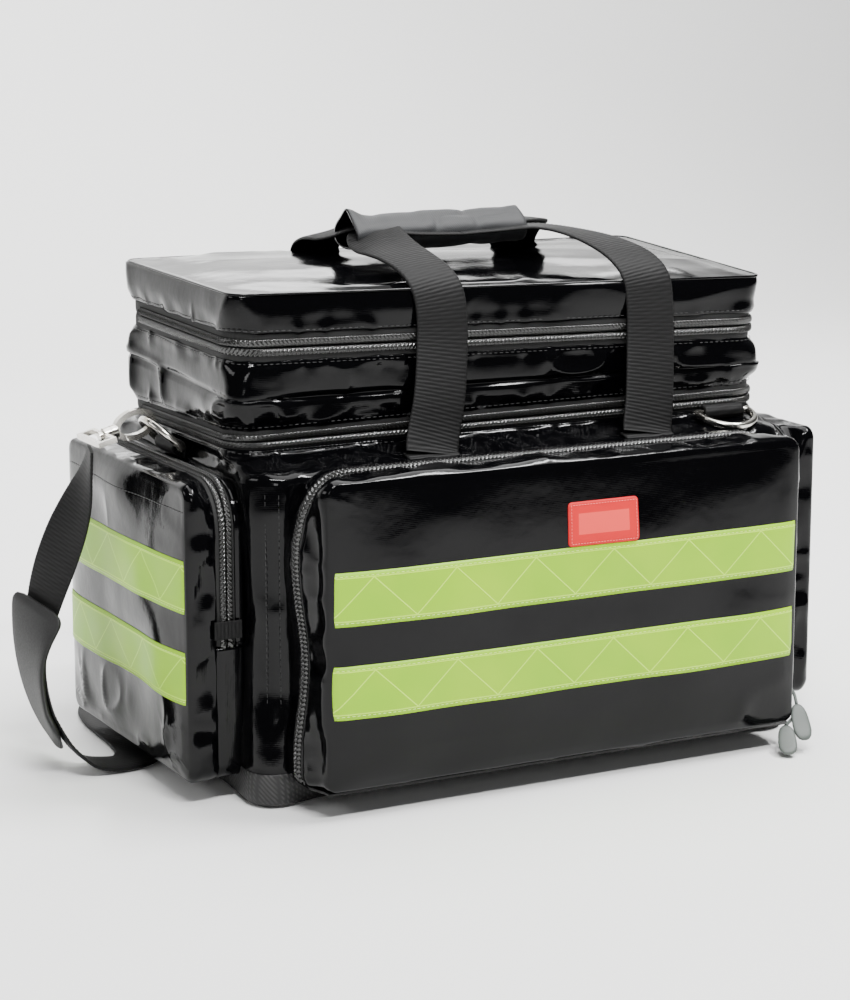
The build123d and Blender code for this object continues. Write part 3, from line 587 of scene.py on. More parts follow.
def dents(points, seed):
    """Hand-sized dents, finger-sized ripples and a few sharp folds of filled cloth, about -1 to 1."""
    broad = soft_noise(points, (85, 85, 60), seed)
    fine = soft_noise(points, (30, 30, 24), seed + 1)
    return 0.6 * broad + 0.3 * fine + 0.5 * creases(points, (60, 60, 45), seed + 2) - 0.15


def gathers(points, seed):
    """Ridges that run across a seam, about 14 mm apart, sharper at their tops than in their hollows."""
    ridge = creases(points, (17, 17, 60), seed) * 1.6 - 0.6
    return ridge * 0.6 + soft_noise(points, (12, 12, 46), seed + 1) * 0.5


def push(grid, amount, closed=True):
    """Move each place along its normal by an amount in millimetres."""
    return grid + normals(grid, closed) * amount[..., None]


def bulge_corner(points):
    """The filled bag's front corners swell outwards low down."""
    x, y, z = points[..., 0], points[..., 1], points[..., 2]
    low = 1 - ease(z, 15, 75)
    weight = ease(np.abs(x), 140, 186) * ease(-y, 60, 112) * low
    moved = points.copy()
    moved[..., 0] += np.sign(x) * 4.0 * weight
    moved[..., 1] -= 9.0 * weight
    return moved


# ---- main body --------------------------------------------------------------------------------
body_x, body_y = BODY[1][0], BODY[1][1]
lid_x, lid_y = LID[1][0], LID[1][1]
LID_CORNER = 20.0
wall_loop = ring_samples(130, 84, 10)


def body_shell():
    """Profile of half sizes and heights carried round the wall loop, dented where nothing holds it."""
    floor = [(body_x * k, body_y * k, 21 * k, 9.5) for k in (0.0, 0.3, 0.6, 0.85, 0.97)]
    foot = [(body_x - 1.5, body_y - 1.5, 21, 11), (body_x - 1.3, body_y - 1.3, 21, 17.6)]
    wall = [(body_x, body_y, 22, z) for z in np.linspace(19.5, 194, 27)]
    shoulder = [
        (body_x, body_y - 0.4, 22, 197.2), (body_x - 0.4, body_y - 2.2, 21.5, 199.6),
        (body_x - 0.8, body_y - 6, 21, 201.2), (body_x - 1.2, body_y - 12, 21, 202.6),
        (body_x - 1.6, body_y - 18, 21, 204.0), (body_x - 1.2, body_y - 24, 21, 205.2),
        (lid_x + 1.4, lid_y + 5.5, 21, 206.4), (lid_x + 1.5, lid_y + 2.4, 21, 207.8),
        (lid_x + 1.3, lid_y + 1.3, 20.5, 209.4), (lid_x + 0.9, lid_y + 0.9, 20.3, 210.6),
        (lid_x + 0.2, lid_y + 0.2, 20, 210.4), (lid_x - 1.4, lid_y - 1.4, 19, 209.0),
    ]
    half_x, half_y, radius, z = np.array(floor + foot + wall + shoulder).T
    grid = loop_grid(wall_loop, half_x, -half_y, half_y, radius, radius, z)
    height = grid[..., 2]
    free = ease(height, 30, 70) * (1 - ease(height, 188, 200))
    seam = np.exp(-((height - 204) / 5.0) ** 2)
    strip = np.exp(-((np.abs(grid[..., 0]) - 178) / 12) ** 2) * free
    grid = push(grid, dents(grid, 11) * 2.2 * free + gathers(grid, 17) * 2.4 * seam)
    grid = push(grid, (creases(grid, (22, 30, 34), 19) - 0.35) * 2.6 * strip)
    return bulge_corner(grid)


shell = grid_piece(
    "body_shell", body_shell(), PVC, closed=True, inner=LINING, wall=WALL, weld=True
)
settle_in(shell, "body", "coated_fabric", "main_shell")


def base_tray():
    """Woven tray: floor, rounded foot and low wall, its top edge turned in against the body."""
    rows = [(body_x * k, body_y * k, 21 * k, 0.5) for k in (0.0, 0.35, 0.7, 0.9)]
    rows += [(body_x - 4, body_y - 4, 20, 0.4), (body_x - 1.2, body_y - 1.2, 21.5, 1.6)]
    rows += [(body_x + 0.3, body_y + 0.3, 22.3, z) for z in (4, 7.5, 11, 14.5, 18, 20.5)]
    rows += [(body_x + 0.1, body_y + 0.1, 22, 21.4)]
    half_x, half_y, radius, z = np.array(rows).T
    grid = loop_grid(wall_loop, half_x, -half_y, half_y, radius, radius, z)
    weight = ease(grid[..., 2], 2, 10)
    grid = push(grid, gathers(grid, 23) * 0.5 * weight)
    return bulge_corner(grid)


tray = grid_piece(
    "base_tray_woven", base_tray(), BASE_WEAVE, closed=True, inner=LINING, wall=0.8, weld=True
)
settle_in(tray, "body", "woven_base", "base_tray")


# ---- zip halves -------------------------------------------------------------------------------
def zip_half(name, body, loop, depths, side, face=None, keep=None, lean=False, width=4.9):
    """Half a zip round a loop, for the CAD node of its name: a flat closed band of tape between two
    depths, and a coil along the edge that meets the other half. side is 1 for the half that lies first.

    Across the coil the lift is a power of a sine. Along it, a cosine of 2 pi times (distance along plus
    0.8 times distance across) over the pitch stands up the slanting turns. The coil covers only the part
    of the loop whose second measure is under keep.
    """
    half, low, high, _, high_radius = loop
    edge = depths[1] if side > 0 else depths[0]
    far = depths[0] if side > 0 else depths[1]
    coarse = ring_samples(150, 90, 10)
    dense = ring_samples(
        int(2 * half / 0.45), int((high - low) / 0.45), int(high_radius * 1.571 / 0.45) + 4
    )
    if face:
        coarse, dense = open_arch(coarse), open_arch(dense)
    offset = np.array([0.0, 0.35, 0.35, 0.0, -1.2, -1.2])
    near = edge - side * 0.6
    depth = np.array([far, far * 0.75 + near * 0.25, far * 0.25 + near * 0.75, near, near, far])
    if side < 0:
        offset, depth = offset[::-1], depth[::-1]
    grid = placed(loop_rows(coarse, loop, offset, depth), face, lean)
    tape = grid_piece(f"{name}_tape", grid, TAPE, closed=not face, ring=True)
    settle_in(tape, body, "zip_tape", name)

    middle = loop_rows(dense, loop, np.array([0.0]), np.array([edge]))[0]
    wide = loop_rows(dense, loop, np.array([1.0]), np.array([edge]))[0]
    outward = unit(wide - middle)
    along = lengths(middle)
    if keep is not None:
        chosen = middle[:, 1] < keep
        middle, outward, along = middle[chosen], outward[chosen], along[chosen]
    turn = np.linspace(0.02, np.pi - 0.02, 8)[:, None]
    across = 0.25 + width * (1 - np.cos(turn)) / 2
    shift = 0 if side > 0 else COIL_PITCH / 2
    wave = 0.5 + 0.5 * np.cos(TURN * (along[None, :] + 0.8 * across + shift) / COIL_PITCH)
    lift = 0.3 + np.sin(turn) ** 0.55 * (0.8 + 1.75 * wave ** 1.3)
    coil_grid = middle[None] + outward[None] * lift[..., None]
    coil_grid = np.concatenate([coil_grid, (middle - outward * 0.4)[None]], axis=0)
    drop = np.concatenate([across + 0 * along[None, :], np.full((1, len(along)), width / 2)], axis=0)
    coil_grid[..., 2] -= side * drop
    if side > 0:
        coil_grid = coil_grid[::-1]
    coil = grid_piece(f"{name}_coil", placed(coil_grid, face, lean), COIL, ring=True)
    settle_in(coil, body, "zip_tape")


lid_loop = (lid_x, -lid_y, lid_y, LID_CORNER, LID_CORNER)
coil_end = 60.5
for name, body, depths, side in (
    ("main_zip_lower", "body", (207.0, LOWER_SPLIT), 1),
    ("main_zip_upper", "upper_box", (LOWER_SPLIT, 228.5), -1),
    ("top_zip_lower", "upper_box", (261.5, UPPER_SPLIT), 1),
    ("top_zip_upper", "top_lid", (UPPER_SPLIT, 280.5), -1),
):
    zip_half(name, body, lid_loop, depths, side, keep=coil_end, lean=True)


# ---- stitches ---------------------------------------------------------------------------------
def stitches(name, body, material, rows, slot, pitch=4.0, length=2.9, thick=0.5, lift=0.25):
    """Sewn rows: each stitch is a six-sided spindle along its row, all of them one array of places."""
    spots, runs, outs = [], [], []
    for path, outward in rows:
        both = np.concatenate([path, outward], axis=1)
        total = lengths(path)
        marks = np.arange(pitch / 2, total[-1], pitch)
        at = np.stack([np.interp(marks, total, both[:, k]) for k in range(6)], axis=1)
        ahead = np.stack([np.interp(marks + 0.8, total, path[:, k]) for k in range(3)], axis=1)
        behind = np.stack([np.interp(marks - 0.8, total, path[:, k]) for k in range(3)], axis=1)
        spots.append(at[:, :3])
        outs.append(unit(at[:, 3:]))
        runs.append(unit(ahead - behind))
    spot, run, out = (np.concatenate(v)[:, None, :] for v in (spots, runs, outs))
    side = np.cross(run, out)
    turn = np.arange(6) * np.pi / 3
    circle = np.stack([np.cos(turn), np.sin(turn)], axis=1)
    places = [spot - run * length / 2 + out * (lift - thick * 0.6)]
    for share, size in ((-0.34, 0.85), (0.34, 0.85)):
        rim = side * circle[None, :, :1] + out * circle[None, :, 1:]
        places.append(spot + run * length * share + out * lift + rim * thick * size / 2)
    places.append(spot + run * length / 2 + out * (lift - thick * 0.6))
    verts = np.concatenate(places, axis=1)
    around = np.arange(6)
    after = (around + 1) % 6
    fan = np.stack([0 * around, 1 + after, 1 + around], axis=1)
    sleeve = np.stack([1 + around, 1 + after, 7 + after, 7 + around], axis=1)
    cap = np.stack([7 + around, 7 + after, 13 + 0 * around], axis=1)
    count = len(verts)
    base = (np.arange(count) * 14)[:, None, None]
    faces = (base + fan).reshape(-1, 3).tolist() + (base + sleeve).reshape(-1, 4).tolist()
    faces += (base + cap).reshape(-1, 3).tolist()
    mesh = bpy.data.meshes.new(name)
    mesh.from_pydata((verts.reshape(-1, 3) * MM).tolist(), [], faces)
    return settle_in(new_piece(name, mesh, material), body, slot)


def loop_row(loop, offset, depth, lean=False):
    """One line round a loop and its outward directions, for a row of stitches."""
    pair = np.array([offset, offset + 1])
    both = loop_rows(ring_samples(200, 100, 14), loop, pair, np.array([depth, depth]))
    both = placed(both, lean=lean)
    return both[0], both[1] - both[0]


# ---- upper compartment and its cover ----------------------------------------------------------
def gusset():
    """Floor and wall of the upper compartment: two soft swells with the fold between them."""
    floor = [(lid_x * k, lid_y * k, 20 * k, 228.4) for k in (0.0, 0.4, 0.8, 0.97)]
    half_x, half_y, radius, z = np.array(floor).T
    z_wall = np.concatenate([[225.0, 225.4], np.linspace(227, 262, 26), [262.6, 263.0]])
    share = np.clip((z_wall - 227) / 35, 0, 1)
    swell = 0.9 * np.abs(np.sin(2 * np.pi * share)) ** 0.6
    fold = -1.7 * np.exp(-((share - 0.5) / 0.035) ** 2)
    off = 0.9 + swell + fold
    off[0], off[-1] = 0.5, 0.5
    under = np.array([[lid_x - 1.3, lid_y - 1.3, 19, 228.0], [lid_x - 0.9, lid_y - 0.9, 19, 225.4]]).T
    half_x = np.concatenate([half_x, under[0], lid_x + off])
    half_y = np.concatenate([half_y, under[1], lid_y + off])
    radius = np.concatenate([radius, under[2], 20 + off - 11 * np.sin(np.pi * share) ** 0.6])
    z = np.concatenate([z, under[3], z_wall])
    grid = loop_grid(wall_loop, half_x, -half_y, half_y, radius, radius, z)
    height = grid[..., 2]
    free = ease(height, 227, 233) * (1 - ease(height, 257, 262))
    edge = np.exp(-((height - 229) / 4.5) ** 2) + np.exp(-((height - 261) / 4.5) ** 2)
    wall = (np.arange(len(z)) > 5)[:, None]
    folds = (creases(grid, (46, 46, 17), 33) - 0.3) * 2.8 * free
    grid = push(grid, (dents(grid, 31) * 2.6 * free + folds + gathers(grid, 37) * 1.8 * edge) * wall)
    lift = ease(height, 236, 245) * (1 - ease(height, 246, 256)) * wall
    grid[..., 2] += lift * (grid[..., 1] / lid_y) * 3.0
    return settle(grid)


box_wall = grid_piece("upper_gusset", gusset(), PVC, closed=True, inner=LINING, wall=1.8, weld=True)
settle_in(box_wall, "upper_box", "coated_fabric", "upper_box_shell")


def cover_top(x, y):
    """Height of the filled cover over its edge seam: a flat crown with soft hollows."""
    edge = (1 - np.clip(np.abs(x) / lid_x, 0, 1) ** 5) * (1 - np.clip(np.abs(y) / lid_y, 0, 1) ** 4)
    flat = np.stack([x, y, 0 * x], axis=-1)
    waves = soft_noise(flat, (80, 48, 50), 51) * 2.2 + soft_noise(flat, (40, 26, 50), 52) * 1.0
    pulls = (creases(flat, (30, 55, 50), 53) - 0.35) * 2.2 * (1 - edge)
    return 4.5 * edge + waves * edge ** 0.5 + pulls * np.clip(edge * 4, 0, 1)


def top_cover():
    """Side wall with gathers over the zip, a sharp seam, and the crowned top closed at its middle."""
    wall_z = np.concatenate([[279.0, 279.4], np.linspace(280.5, 301.5, 13)])
    off = 1.3 + 1.4 * np.sin(np.clip((wall_z - 279) / 24, 0, 1) * np.pi)
    off[0] = 0.5
    share = np.concatenate([[0.999, 0.99, 0.975], np.linspace(0.95, 0.05, 30), [0.0]])
    half_x = np.concatenate([lid_x + off, lid_x * share])
    half_y = np.concatenate([lid_y + off, lid_y * share])
    radius = np.concatenate([np.interp(wall_z, [279, 301.5], [18, 9]) + off, 8 * share])
    z = np.concatenate([wall_z, np.full(len(share), 303.0)])
    grid = loop_grid(wall_loop, half_x, -half_y, half_y, radius, radius, z)
    top = (np.arange(len(z)) >= len(wall_z))[:, None]
    height = grid[..., 2]
    low = np.exp(-((height - 281) / 6.0) ** 2) * ~top
    free = ease(height, 280, 288) * ~top
    moved = push(grid, dents(grid, 41) * 2.2 * free + gathers(grid, 43) * 1.6 * low)
    moved[..., 2] += np.where(top, cover_top(grid[..., 0], grid[..., 1]), 0)
    return settle(moved)


cover = grid_piece("top_cover_padded", top_cover(), PVC, closed=True, inner=LINING, wall=2.0, weld=True)
settle_in(cover, "top_lid", "coated_fabric", "top_cover")


def tube(name, path, radius, material, body, slot, closed=True, sides=8):
    """Round welt along a path: circle of the radius in the plane of the path's normal and binormal."""
    run = tangents(path, closed)
    up = np.cross(run, (0.0, 0.0, 1.0))
    weak = np.linalg.norm(up, axis=1, keepdims=True) < 0.2
    up = np.where(weak, np.cross(run, (0.0, 1.0, 0.0)), up)
    up = unit(up)
    other = np.cross(run, up)
    turn = (np.arange(sides) * 2 * np.pi / sides)[:, None, None]
    grid = path[None] + radius * (np.cos(turn) * up[None] - np.sin(turn) * other[None])
    piece = grid_piece(name, grid, material, closed=closed, ring=True)
    return settle_in(piece, body, slot)


cover_edge = (lid_x, -lid_y, lid_y, 8.5, 8.5)
line, _ = loop_row(cover_edge, 0.6, 302.6, lean=True)
tube("top_cover_welt", resample(line, 4, closed=True), 0.9, PVC, "top_lid", "coated_fabric")

stitches(
    "top_cover_stitches", "top_lid", THREAD,
    [loop_row((lid_x, -lid_y, lid_y, 17, 17), 1.7, 281.0, lean=True)], "coated_fabric",
)
stitches(
    "gusset_stitches", "upper_box", THREAD,
    [loop_row(lid_loop, 1.5, z, lean=True) for z in (227.0, 261.2)], "coated_fabric",
)
stitches("mouth_stitches", "body", THREAD, [loop_row(lid_loop, 1.6, 208.6, lean=True)], "coated_fabric")


def wall_seam(x, way):
    """Upright row of stitches on the front or rear wall, following the arc of the body's corner."""
    z = np.linspace(26, 192, 80)
    bend = np.sqrt(CORNER ** 2 - max(abs(x) - body_x + CORNER, 0) ** 2)
    line = np.stack([x + 0 * z, way * (body_y - CORNER + bend + 0.6) + 0 * z, z], axis=1)
    return line, np.stack([0 * z, way + 0 * z, 0 * z], axis=1)


stitches(
    "wall_stitches", "body", THREAD,
    [wall_seam(x, way) for x in (-181.5, -174.5, 174.5, 181.5) for way in (-1, 1)],
    "coated_fabric", lift=0.6,
)


# ---- front pocket -----------------------------------------------------------------------------
front_half, front_low, front_high = FRONT[1][0], FRONT[0][2], FRONT[1][2]
front_back, front_out = -FRONT[1][1], -FRONT[0][1]
front_loop = (front_half, front_low, front_high, 6.0, ARCH)
pocket_loop = ring_samples(120, 70, 12)


def front_face(u, v):
    """Distance of the pocket's face from the bag's middle: crowned, rounder at its top, dented low down."""
    middle = (front_low + front_high) / 2
    rise = (front_high - front_low) / 2
    across = np.clip(np.abs(u) / front_half, 0, 1)
    upward = np.clip(np.abs(v - middle) / rise, 0, 1)
    edge = (1 - across ** 8) * (1 - upward ** np.where(v > middle, 3.2, 6.0))
    flat = np.stack([u, v, 0 * u], axis=-1)
    waves = soft_noise(flat, (95, 70, 50), 61) * 2.0 + soft_noise(flat, (42, 30, 50), 62) * 1.1
    low = 1 - ease(v, 25, 60)
    folds = (creases(flat, (84, 30, 50), 63) - 0.3) * 2.6 * low
    corner = ease(across, 0.8, 1.0) * creases(flat, (26, 30, 50), 64) * 1.5
    return front_out - 0.4 + 5.0 * edge + (waves + folds + corner) * np.sqrt(edge)


def pocket_cover(loop, back, out, face_depth, wall_rows, seed, reach):
    """Side wall from its zip edge to the face's fold, then the face drawn in to its middle."""
    half, low, high, low_radius, high_radius = loop
    middle, rise = (low + high) / 2, (high - low) / 2
    wall_depth = np.concatenate([[back - 0.9, back - 0.4], np.linspace(back + 1, out - 3.5, wall_rows)])
    wall_inset = np.concatenate([[-0.5, -1.0], np.full(wall_rows, -0.9)])
    turn = np.linspace(0.2, 1.45, 5)
    edge_inset = 2.4 * (1 - np.cos(turn)) - 0.6
    edge_depth = out - 3.0 + 3.0 * np.sin(turn)
    share = np.concatenate([[0.975, 0.955], np.linspace(0.925, 0.04, 34), [0.0]])
    inset = np.concatenate([wall_inset, edge_inset])
    flat = half - 3, rise - 3
    a = np.concatenate([half - inset, flat[0] * share])
    lo = np.concatenate([low + inset, middle - flat[1] * share])
    hi = np.concatenate([high - inset, middle + flat[1] * share])
    r0 = np.concatenate([np.maximum(low_radius - inset, 1), low_radius * share])
    taper = high_radius + (FACE_CORNER - high_radius) * ease(wall_depth, back, out - 5)
    r1 = np.concatenate([taper - wall_inset, FACE_CORNER - edge_inset, (FACE_CORNER - 3) * share])
    w = np.concatenate([wall_depth, edge_depth, np.full(len(share), out)])
    grid = loop_grid(pocket_loop, a, lo, hi, r0, r1, w)
    faced = (np.arange(len(w)) >= len(inset))[:, None]
    depth = grid[..., 2]
    side = ease(depth, back, back + 3) * (1 - ease(depth, out - 5, out)) * ~faced
    near = np.exp(-((depth - back - 3) / 6.0) ** 2) * ~faced
    slow = soft_noise(grid, (26, 26, 30), seed) * 0.6 + soft_noise(grid, (12, 12, 30), seed + 1) * 0.4
    folds = slow + 0.4 * creases(grid, (24, 24, 40), seed + 5)
    moved = push(grid, folds * reach * side + gathers(grid, seed + 2) * near)
    moved[..., 2] = np.where(faced, face_depth(grid[..., 0], grid[..., 1]), moved[..., 2])
    return moved


front_grid = pocket_cover(front_loop, front_back, front_out, front_face, 10, 71, 2.6)
front_cover = grid_piece(
    "front_pocket_shell", onto("front", front_grid), PVC, closed=True, inner=LINING, wall=1.6, weld=True
)
settle_in(front_cover, "front_pocket", "coated_fabric", "front_pocket_cover")


def rim_band(loop, rows, seed):
    """Band round a loop: pairs of outward offset and depth give its line from the body to the zip."""
    grid = loop_rows(pocket_loop, loop, *np.array(rows).T)
    weight = np.sin(np.linspace(0, np.pi, len(rows)))[:, None]
    return push(grid, gathers(grid, seed) * 0.9 * weight)


rim_rows = [
    (0.2, body_y - 0.4), (1.4, body_y + 0.8), (1.2, body_y + 3), (1.0, body_y + 6),
    (0.9, 127.6), (0.4, 128.4),
]
rim_loop = (front_half, front_low - 2.6, front_high, 6.0, ARCH)
front_rim = grid_piece(
    "front_pocket_rim_band", onto("front", rim_band(rim_loop, rim_rows, 81)), PVC, closed=True,
    inner=LINING, wall=1.4,
)
settle_in(front_rim, "body", "coated_fabric", "front_pocket_rim")


def slab(half, low, high, near, far):
    """Thin closed panel between two depths, rounded at its edges and closed at both ends."""
    middle, rise = (low + high) / 2, (high - low) / 2
    share = np.array([0.02, 0.9, 1.0, 1.0, 1.0, 1.0, 1.0, 1.0, 1.0, 0.9, 0.02])
    depth = np.concatenate([[near, near], np.linspace(near + 0.4, far - 0.4, 7), [far, far]])
    narrow = half - 1.5 * (1 - share)
    narrow[[0, -1]] = half * 0.02
    return loop_grid(
        ring_samples(60, 4, 3), narrow, middle - rise * share, middle + rise * share,
        0.9 * share, 0.9 * share, depth,
    )


bottom = grid_piece(
    "front_pocket_bottom", onto("front", slab(front_half - 1.5, 15.2, 17.6, 126.5, 160.6)), PVC,
    closed=True, weld=True,
)
settle_in(bottom, "body", "coated_fabric")

zip_half("front_zip_inner", "body", front_loop, (127.0, 134.0), 1, face="front", width=3.6)
zip_half("front_zip_outer", "front_pocket", front_loop, (134.0, 141.2), -1, face="front", width=3.6)


def face_line(face, depth_at, u, v, lift=0.4):
    """Line on a pocket's face and its outward directions."""
    w = depth_at(u, v) + lift
    line = onto(face, np.stack([u, v, w], axis=-1))
    out = onto(face, np.stack([0 * u, 0 * u, 1 + 0 * u], axis=-1))
    return line, out


def band(name, body, node, face, depth_at, half, heights, ends):
    """Reflective band over a pocket's face: its own UV runs in metres along and across it."""
    low, high = heights
    u = np.linspace(-half, half, 150)[None, :]
    v = np.linspace(low, high, 9)[:, None]
    u, v = np.broadcast_arrays(u, v)
    w = depth_at(np.clip(u, -half + 2, half - 2), v) + 0.75
    w = w - ends * (ease(np.abs(u), half - 5, half)) ** 2
    edge = np.abs(v - (low + high) / 2) / ((high - low) / 2)
    w = w - 0.25 * edge ** 6
    uv = np.stack([(u + half) * MM, (v - low) * MM], axis=-1)
    grid = onto(face, np.stack([u, v, w], axis=-1))
    piece = grid_piece(name, grid, REFLECTIVE, uv=uv, inner=LINING, wall=0.5)
    settle_in(piece, body, "reflective", *([node] if node else []))
    line = np.linspace(-half + 2, half - 2, 200)
    rows = [face_line(face, depth_at, line, 0 * line + h, 0.9) for h in (low + 2.2, high - 2.2)]
    stitches(f"{name}_stitches", body, LIME_THREAD, rows, "reflective", pitch=3.2, length=2.2, thick=0.4)


for level, heights in (("upper", UPPER_BAND), ("lower", LOWER_BAND)):
    node = f"front_band_{level}"
    band(f"{node}_tape", "front_pocket", node, "front", front_face, 163.6, heights, 2.4)


def label():
    """Small patch with rounded corners, lying on the face."""
    share = np.array([1.0, 1.0, 0.93, 0.6, 0.3, 0.0])
    lift = np.array([-0.6, 0.7, 1.1, 1.1, 1.1, 1.1])
    samples = ring_samples(24, 14, 5)
    grid = loop_grid(
        samples, LABEL_HALF[0] * share, LABEL_AT[1] - LABEL_HALF[1] * share,
        LABEL_AT[1] + LABEL_HALF[1] * share, 2.5 * share, 2.5 * share, lift,
    )
    grid[..., 0] += LABEL_AT[0]
    uv_u = (grid[..., 0] - LABEL_AT[0] + LABEL_HALF[0]) / (2 * LABEL_HALF[0])
    uv_v = (grid[..., 1] - LABEL_AT[1] + LABEL_HALF[1]) / (2 * LABEL_HALF[1])
    uv = np.stack([uv_u, uv_v], axis=-1)
    uv = np.concatenate([uv, uv[:, :1]], axis=1)
    grid[..., 2] += front_face(grid[..., 0], grid[..., 1])
    return onto("front", grid), uv


label_grid, label_uv = label()
patch = grid_piece("label_patch_blank", label_grid, LABEL, closed=True, uv=label_uv, weld=True)
settle_in(patch, "front_pocket", "label", "label_patch")
mark = np.array([[-22.8, -11.8], [22.8, -11.8], [22.8, 11.8], [-22.8, 11.8], [-22.8, -11.8]])
spot = np.linspace(0, 4, 240)
mark_u, mark_v = (LABEL_AT[k] + np.interp(spot, np.arange(5), mark[:, k]) for k in (0, 1))
stitches(
    "label_stitches", "front_pocket", RED_THREAD, [face_line("front", front_face, mark_u, mark_v, 1.3)],
    "label", pitch=2.0, length=1.5, thick=0.4,
)


# ---- side pockets -----------------------------------------------------------------------------
side_half, side_high = SIDE[1][1], SIDE[1][2]
side_foot = SIDE_BASE[0][2]
side_out = SIDE[1][0]
side_zip_foot = SIDE[0][2]
side_loop = (side_half, side_foot, side_high, 8.0, ARCH)
side_arch = (side_half, side_zip_foot, side_high, 0.0, ARCH)


def side_face(u, v):
    """Distance of a side pocket's face from the bag's middle."""
    middle = (side_foot + side_high) / 2
    rise = (side_high - side_foot) / 2
    across = np.clip(np.abs(u) / side_half, 0, 1)
    upward = np.clip(np.abs(v - middle) / rise, 0, 1)
    edge = (1 - across ** 5) * (1 - upward ** 5)
    flat = np.stack([u, v, 0 * u], axis=-1)
    waves = soft_noise(flat, (70, 60, 50), 91) * 2.8 + soft_noise(flat, (30, 26, 50), 92) * 1.3
    low = 1 - ease(v, 35, 70)
    folds = (creases(flat, (26, 44, 50), 93) - 0.35) * 2.6 * low
    folds = folds + (creases(flat, (40, 30, 50), 94) - 0.3) * 1.2 * ease(v, 140, 175)
    crumple = creases(flat, (22, 19, 50), 95) * 4.0 * ease(across, 0.55, 0.9) * (1 - ease(v, 30, 62))
    return side_out - 0.4 + 4.5 * edge + (waves + folds + crumple) * np.sqrt(edge)


for face in ("left", "right"):
    grid = onto(face, pocket_cover(side_loop, 207.2, side_out, side_face, 7, 101, 3.0))
    piece = grid_piece(f"{face}_pocket_shell", grid, PVC, closed=True, inner=LINING, wall=1.6, weld=True)
    way = -1 if face == "left" else 1
    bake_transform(piece)
    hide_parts(f"{face}_pocket_flap")
    rows = [
        (0.0, body_x - 0.4), (0.6, body_x + 2), (0.3, body_x + 7), (0.5, body_x + 12),
        (0.6, 206.8), (-0.8, 207.6),
    ]
    offset, depth = np.array(rows).T
    trough = ring_samples(90, 50, 10)[:, : 10 * 3 + 50 * 2 + 90]
    grid = loop_grid(
        trough, side_half + offset, side_foot - offset, side_zip_foot, 8.0, 0.0, depth
    )
    piece = grid_piece(f"{face}_pocket_gusset", onto(face, grid), PVC, inner=LINING, wall=1.4)
    settle_in(piece, "body", "coated_fabric", f"{face}_pocket_base")
    offset, depth = np.array([(0.0, body_x - 0.4), (1.2, body_x + 1), (1.0, 193.8), (0.3, 194.4)]).T
    arch = open_arch(ring_samples(100, 60, 12))
    grid = loop_grid(
        arch, side_half + offset, side_zip_foot, side_high + offset, 0.0, ARCH + offset, depth
    )
    piece = grid_piece(f"{face}_pocket_rim", onto(face, grid), PVC, inner=LINING, wall=1.2)
    settle_in(piece, "body", "coated_fabric")
    flap = f"{face}_pocket"
    zip_half(f"{face}_zip_inner", "body", side_arch, (193.2, 199.85), 1, face=face, width=3.9)
    zip_half(f"{face}_zip_outer", flap, side_arch, (199.85, 206.9), -1, face=face, width=3.9)
    upper = f"{face}_band_upper"
    band(f"{upper}_tape", flap, upper, face, side_face, 97.2, UPPER_BAND, 3)
    lower = "side_bands_lower" if face == "left" else None
    band(f"{face}_band_lower_tape", "body", lower, face, side_face, 97.2, LOWER_BAND, 3)
    line = np.linspace(-side_half + 4, side_half - 4, 120)
    rows = [face_line(face, side_face, line, 0 * line + side_high - 15, 0.5)]
    stitches(f"{face}_pocket_stitches", f"{face}_pocket", THREAD, rows, "coated_fabric")


# ---- webbing ----------------------------------------------------------------------------------
def eased_path(points, rounds=4):
    """Corner cutting: each run keeps its middle half, so the line turns softly but keeps its ends."""
    line = np.asarray(points, float)
    for _ in range(rounds):
        near = line[:-1] * 0.75 + line[1:] * 0.25
        far = line[:-1] * 0.25 + line[1:] * 0.75
        inner = np.stack([near, far], axis=1).reshape(-1, line.shape[1])
        line = np.concatenate([line[:1], inner, line[-1:]])
    return line


def even(line, step):
    """Rows spaced evenly by their first three numbers."""
    length = lengths(line[:, :3])
    marks = np.linspace(0, length[-1], max(int(length[-1] / step), 3))
    return np.stack([np.interp(marks, length, line[:, k]) for k in range(line.shape[1])], axis=1), marks


def squared(across, run):
    """Across-directions turned square to the run."""
    return unit(across - run * np.sum(across * run, axis=1, keepdims=True))


def webbing(name, line, width, thick, step=0.6, ribs=0.16, cup=0.0):
    """Webbing along rows of place and across-direction: a flat closed profile with woven cross ribs.

    Each rib lifts both faces by the cosine of 2 pi times distance along over the rib pitch.
    """
    line, along = even(line, step)
    path, across = line[:, :3], line[:, 3:]
    run = tangents(path)
    across = squared(across, run)
    out = np.cross(run, across)
    share = np.array(
        [-1, -0.985, -0.9, -0.45, 0, 0.45, 0.9, 0.985, 1, 0.985, 0.9, 0.45, 0, -0.45, -0.9, -0.985]
    )
    side = np.array([0, 0.75, 1, 1, 1, 1, 1, 0.75, 0, -0.75, -1, -1, -1, -1, -1, -0.75])
    rib = 1 + ribs * np.cos(TURN * along / RIB_PITCH)[:, None]
    bend = cup * (share ** 2)
    grid = (
        path[:, None]
        + across[:, None] * (share * width / 2)[None, :, None]
        + out[:, None] * (side * thick / 2 * rib + bend)[..., None]
    )
    uv = np.broadcast_arrays(along[:, None] * MM, np.arange(17)[None] * width / 16 * MM)
    uv = np.stack(uv, axis=-1)
    piece = grid_piece(name, grid, WEBBING, closed=True, uv=uv)
    close_ends(piece, len(grid), 16)
    return piece


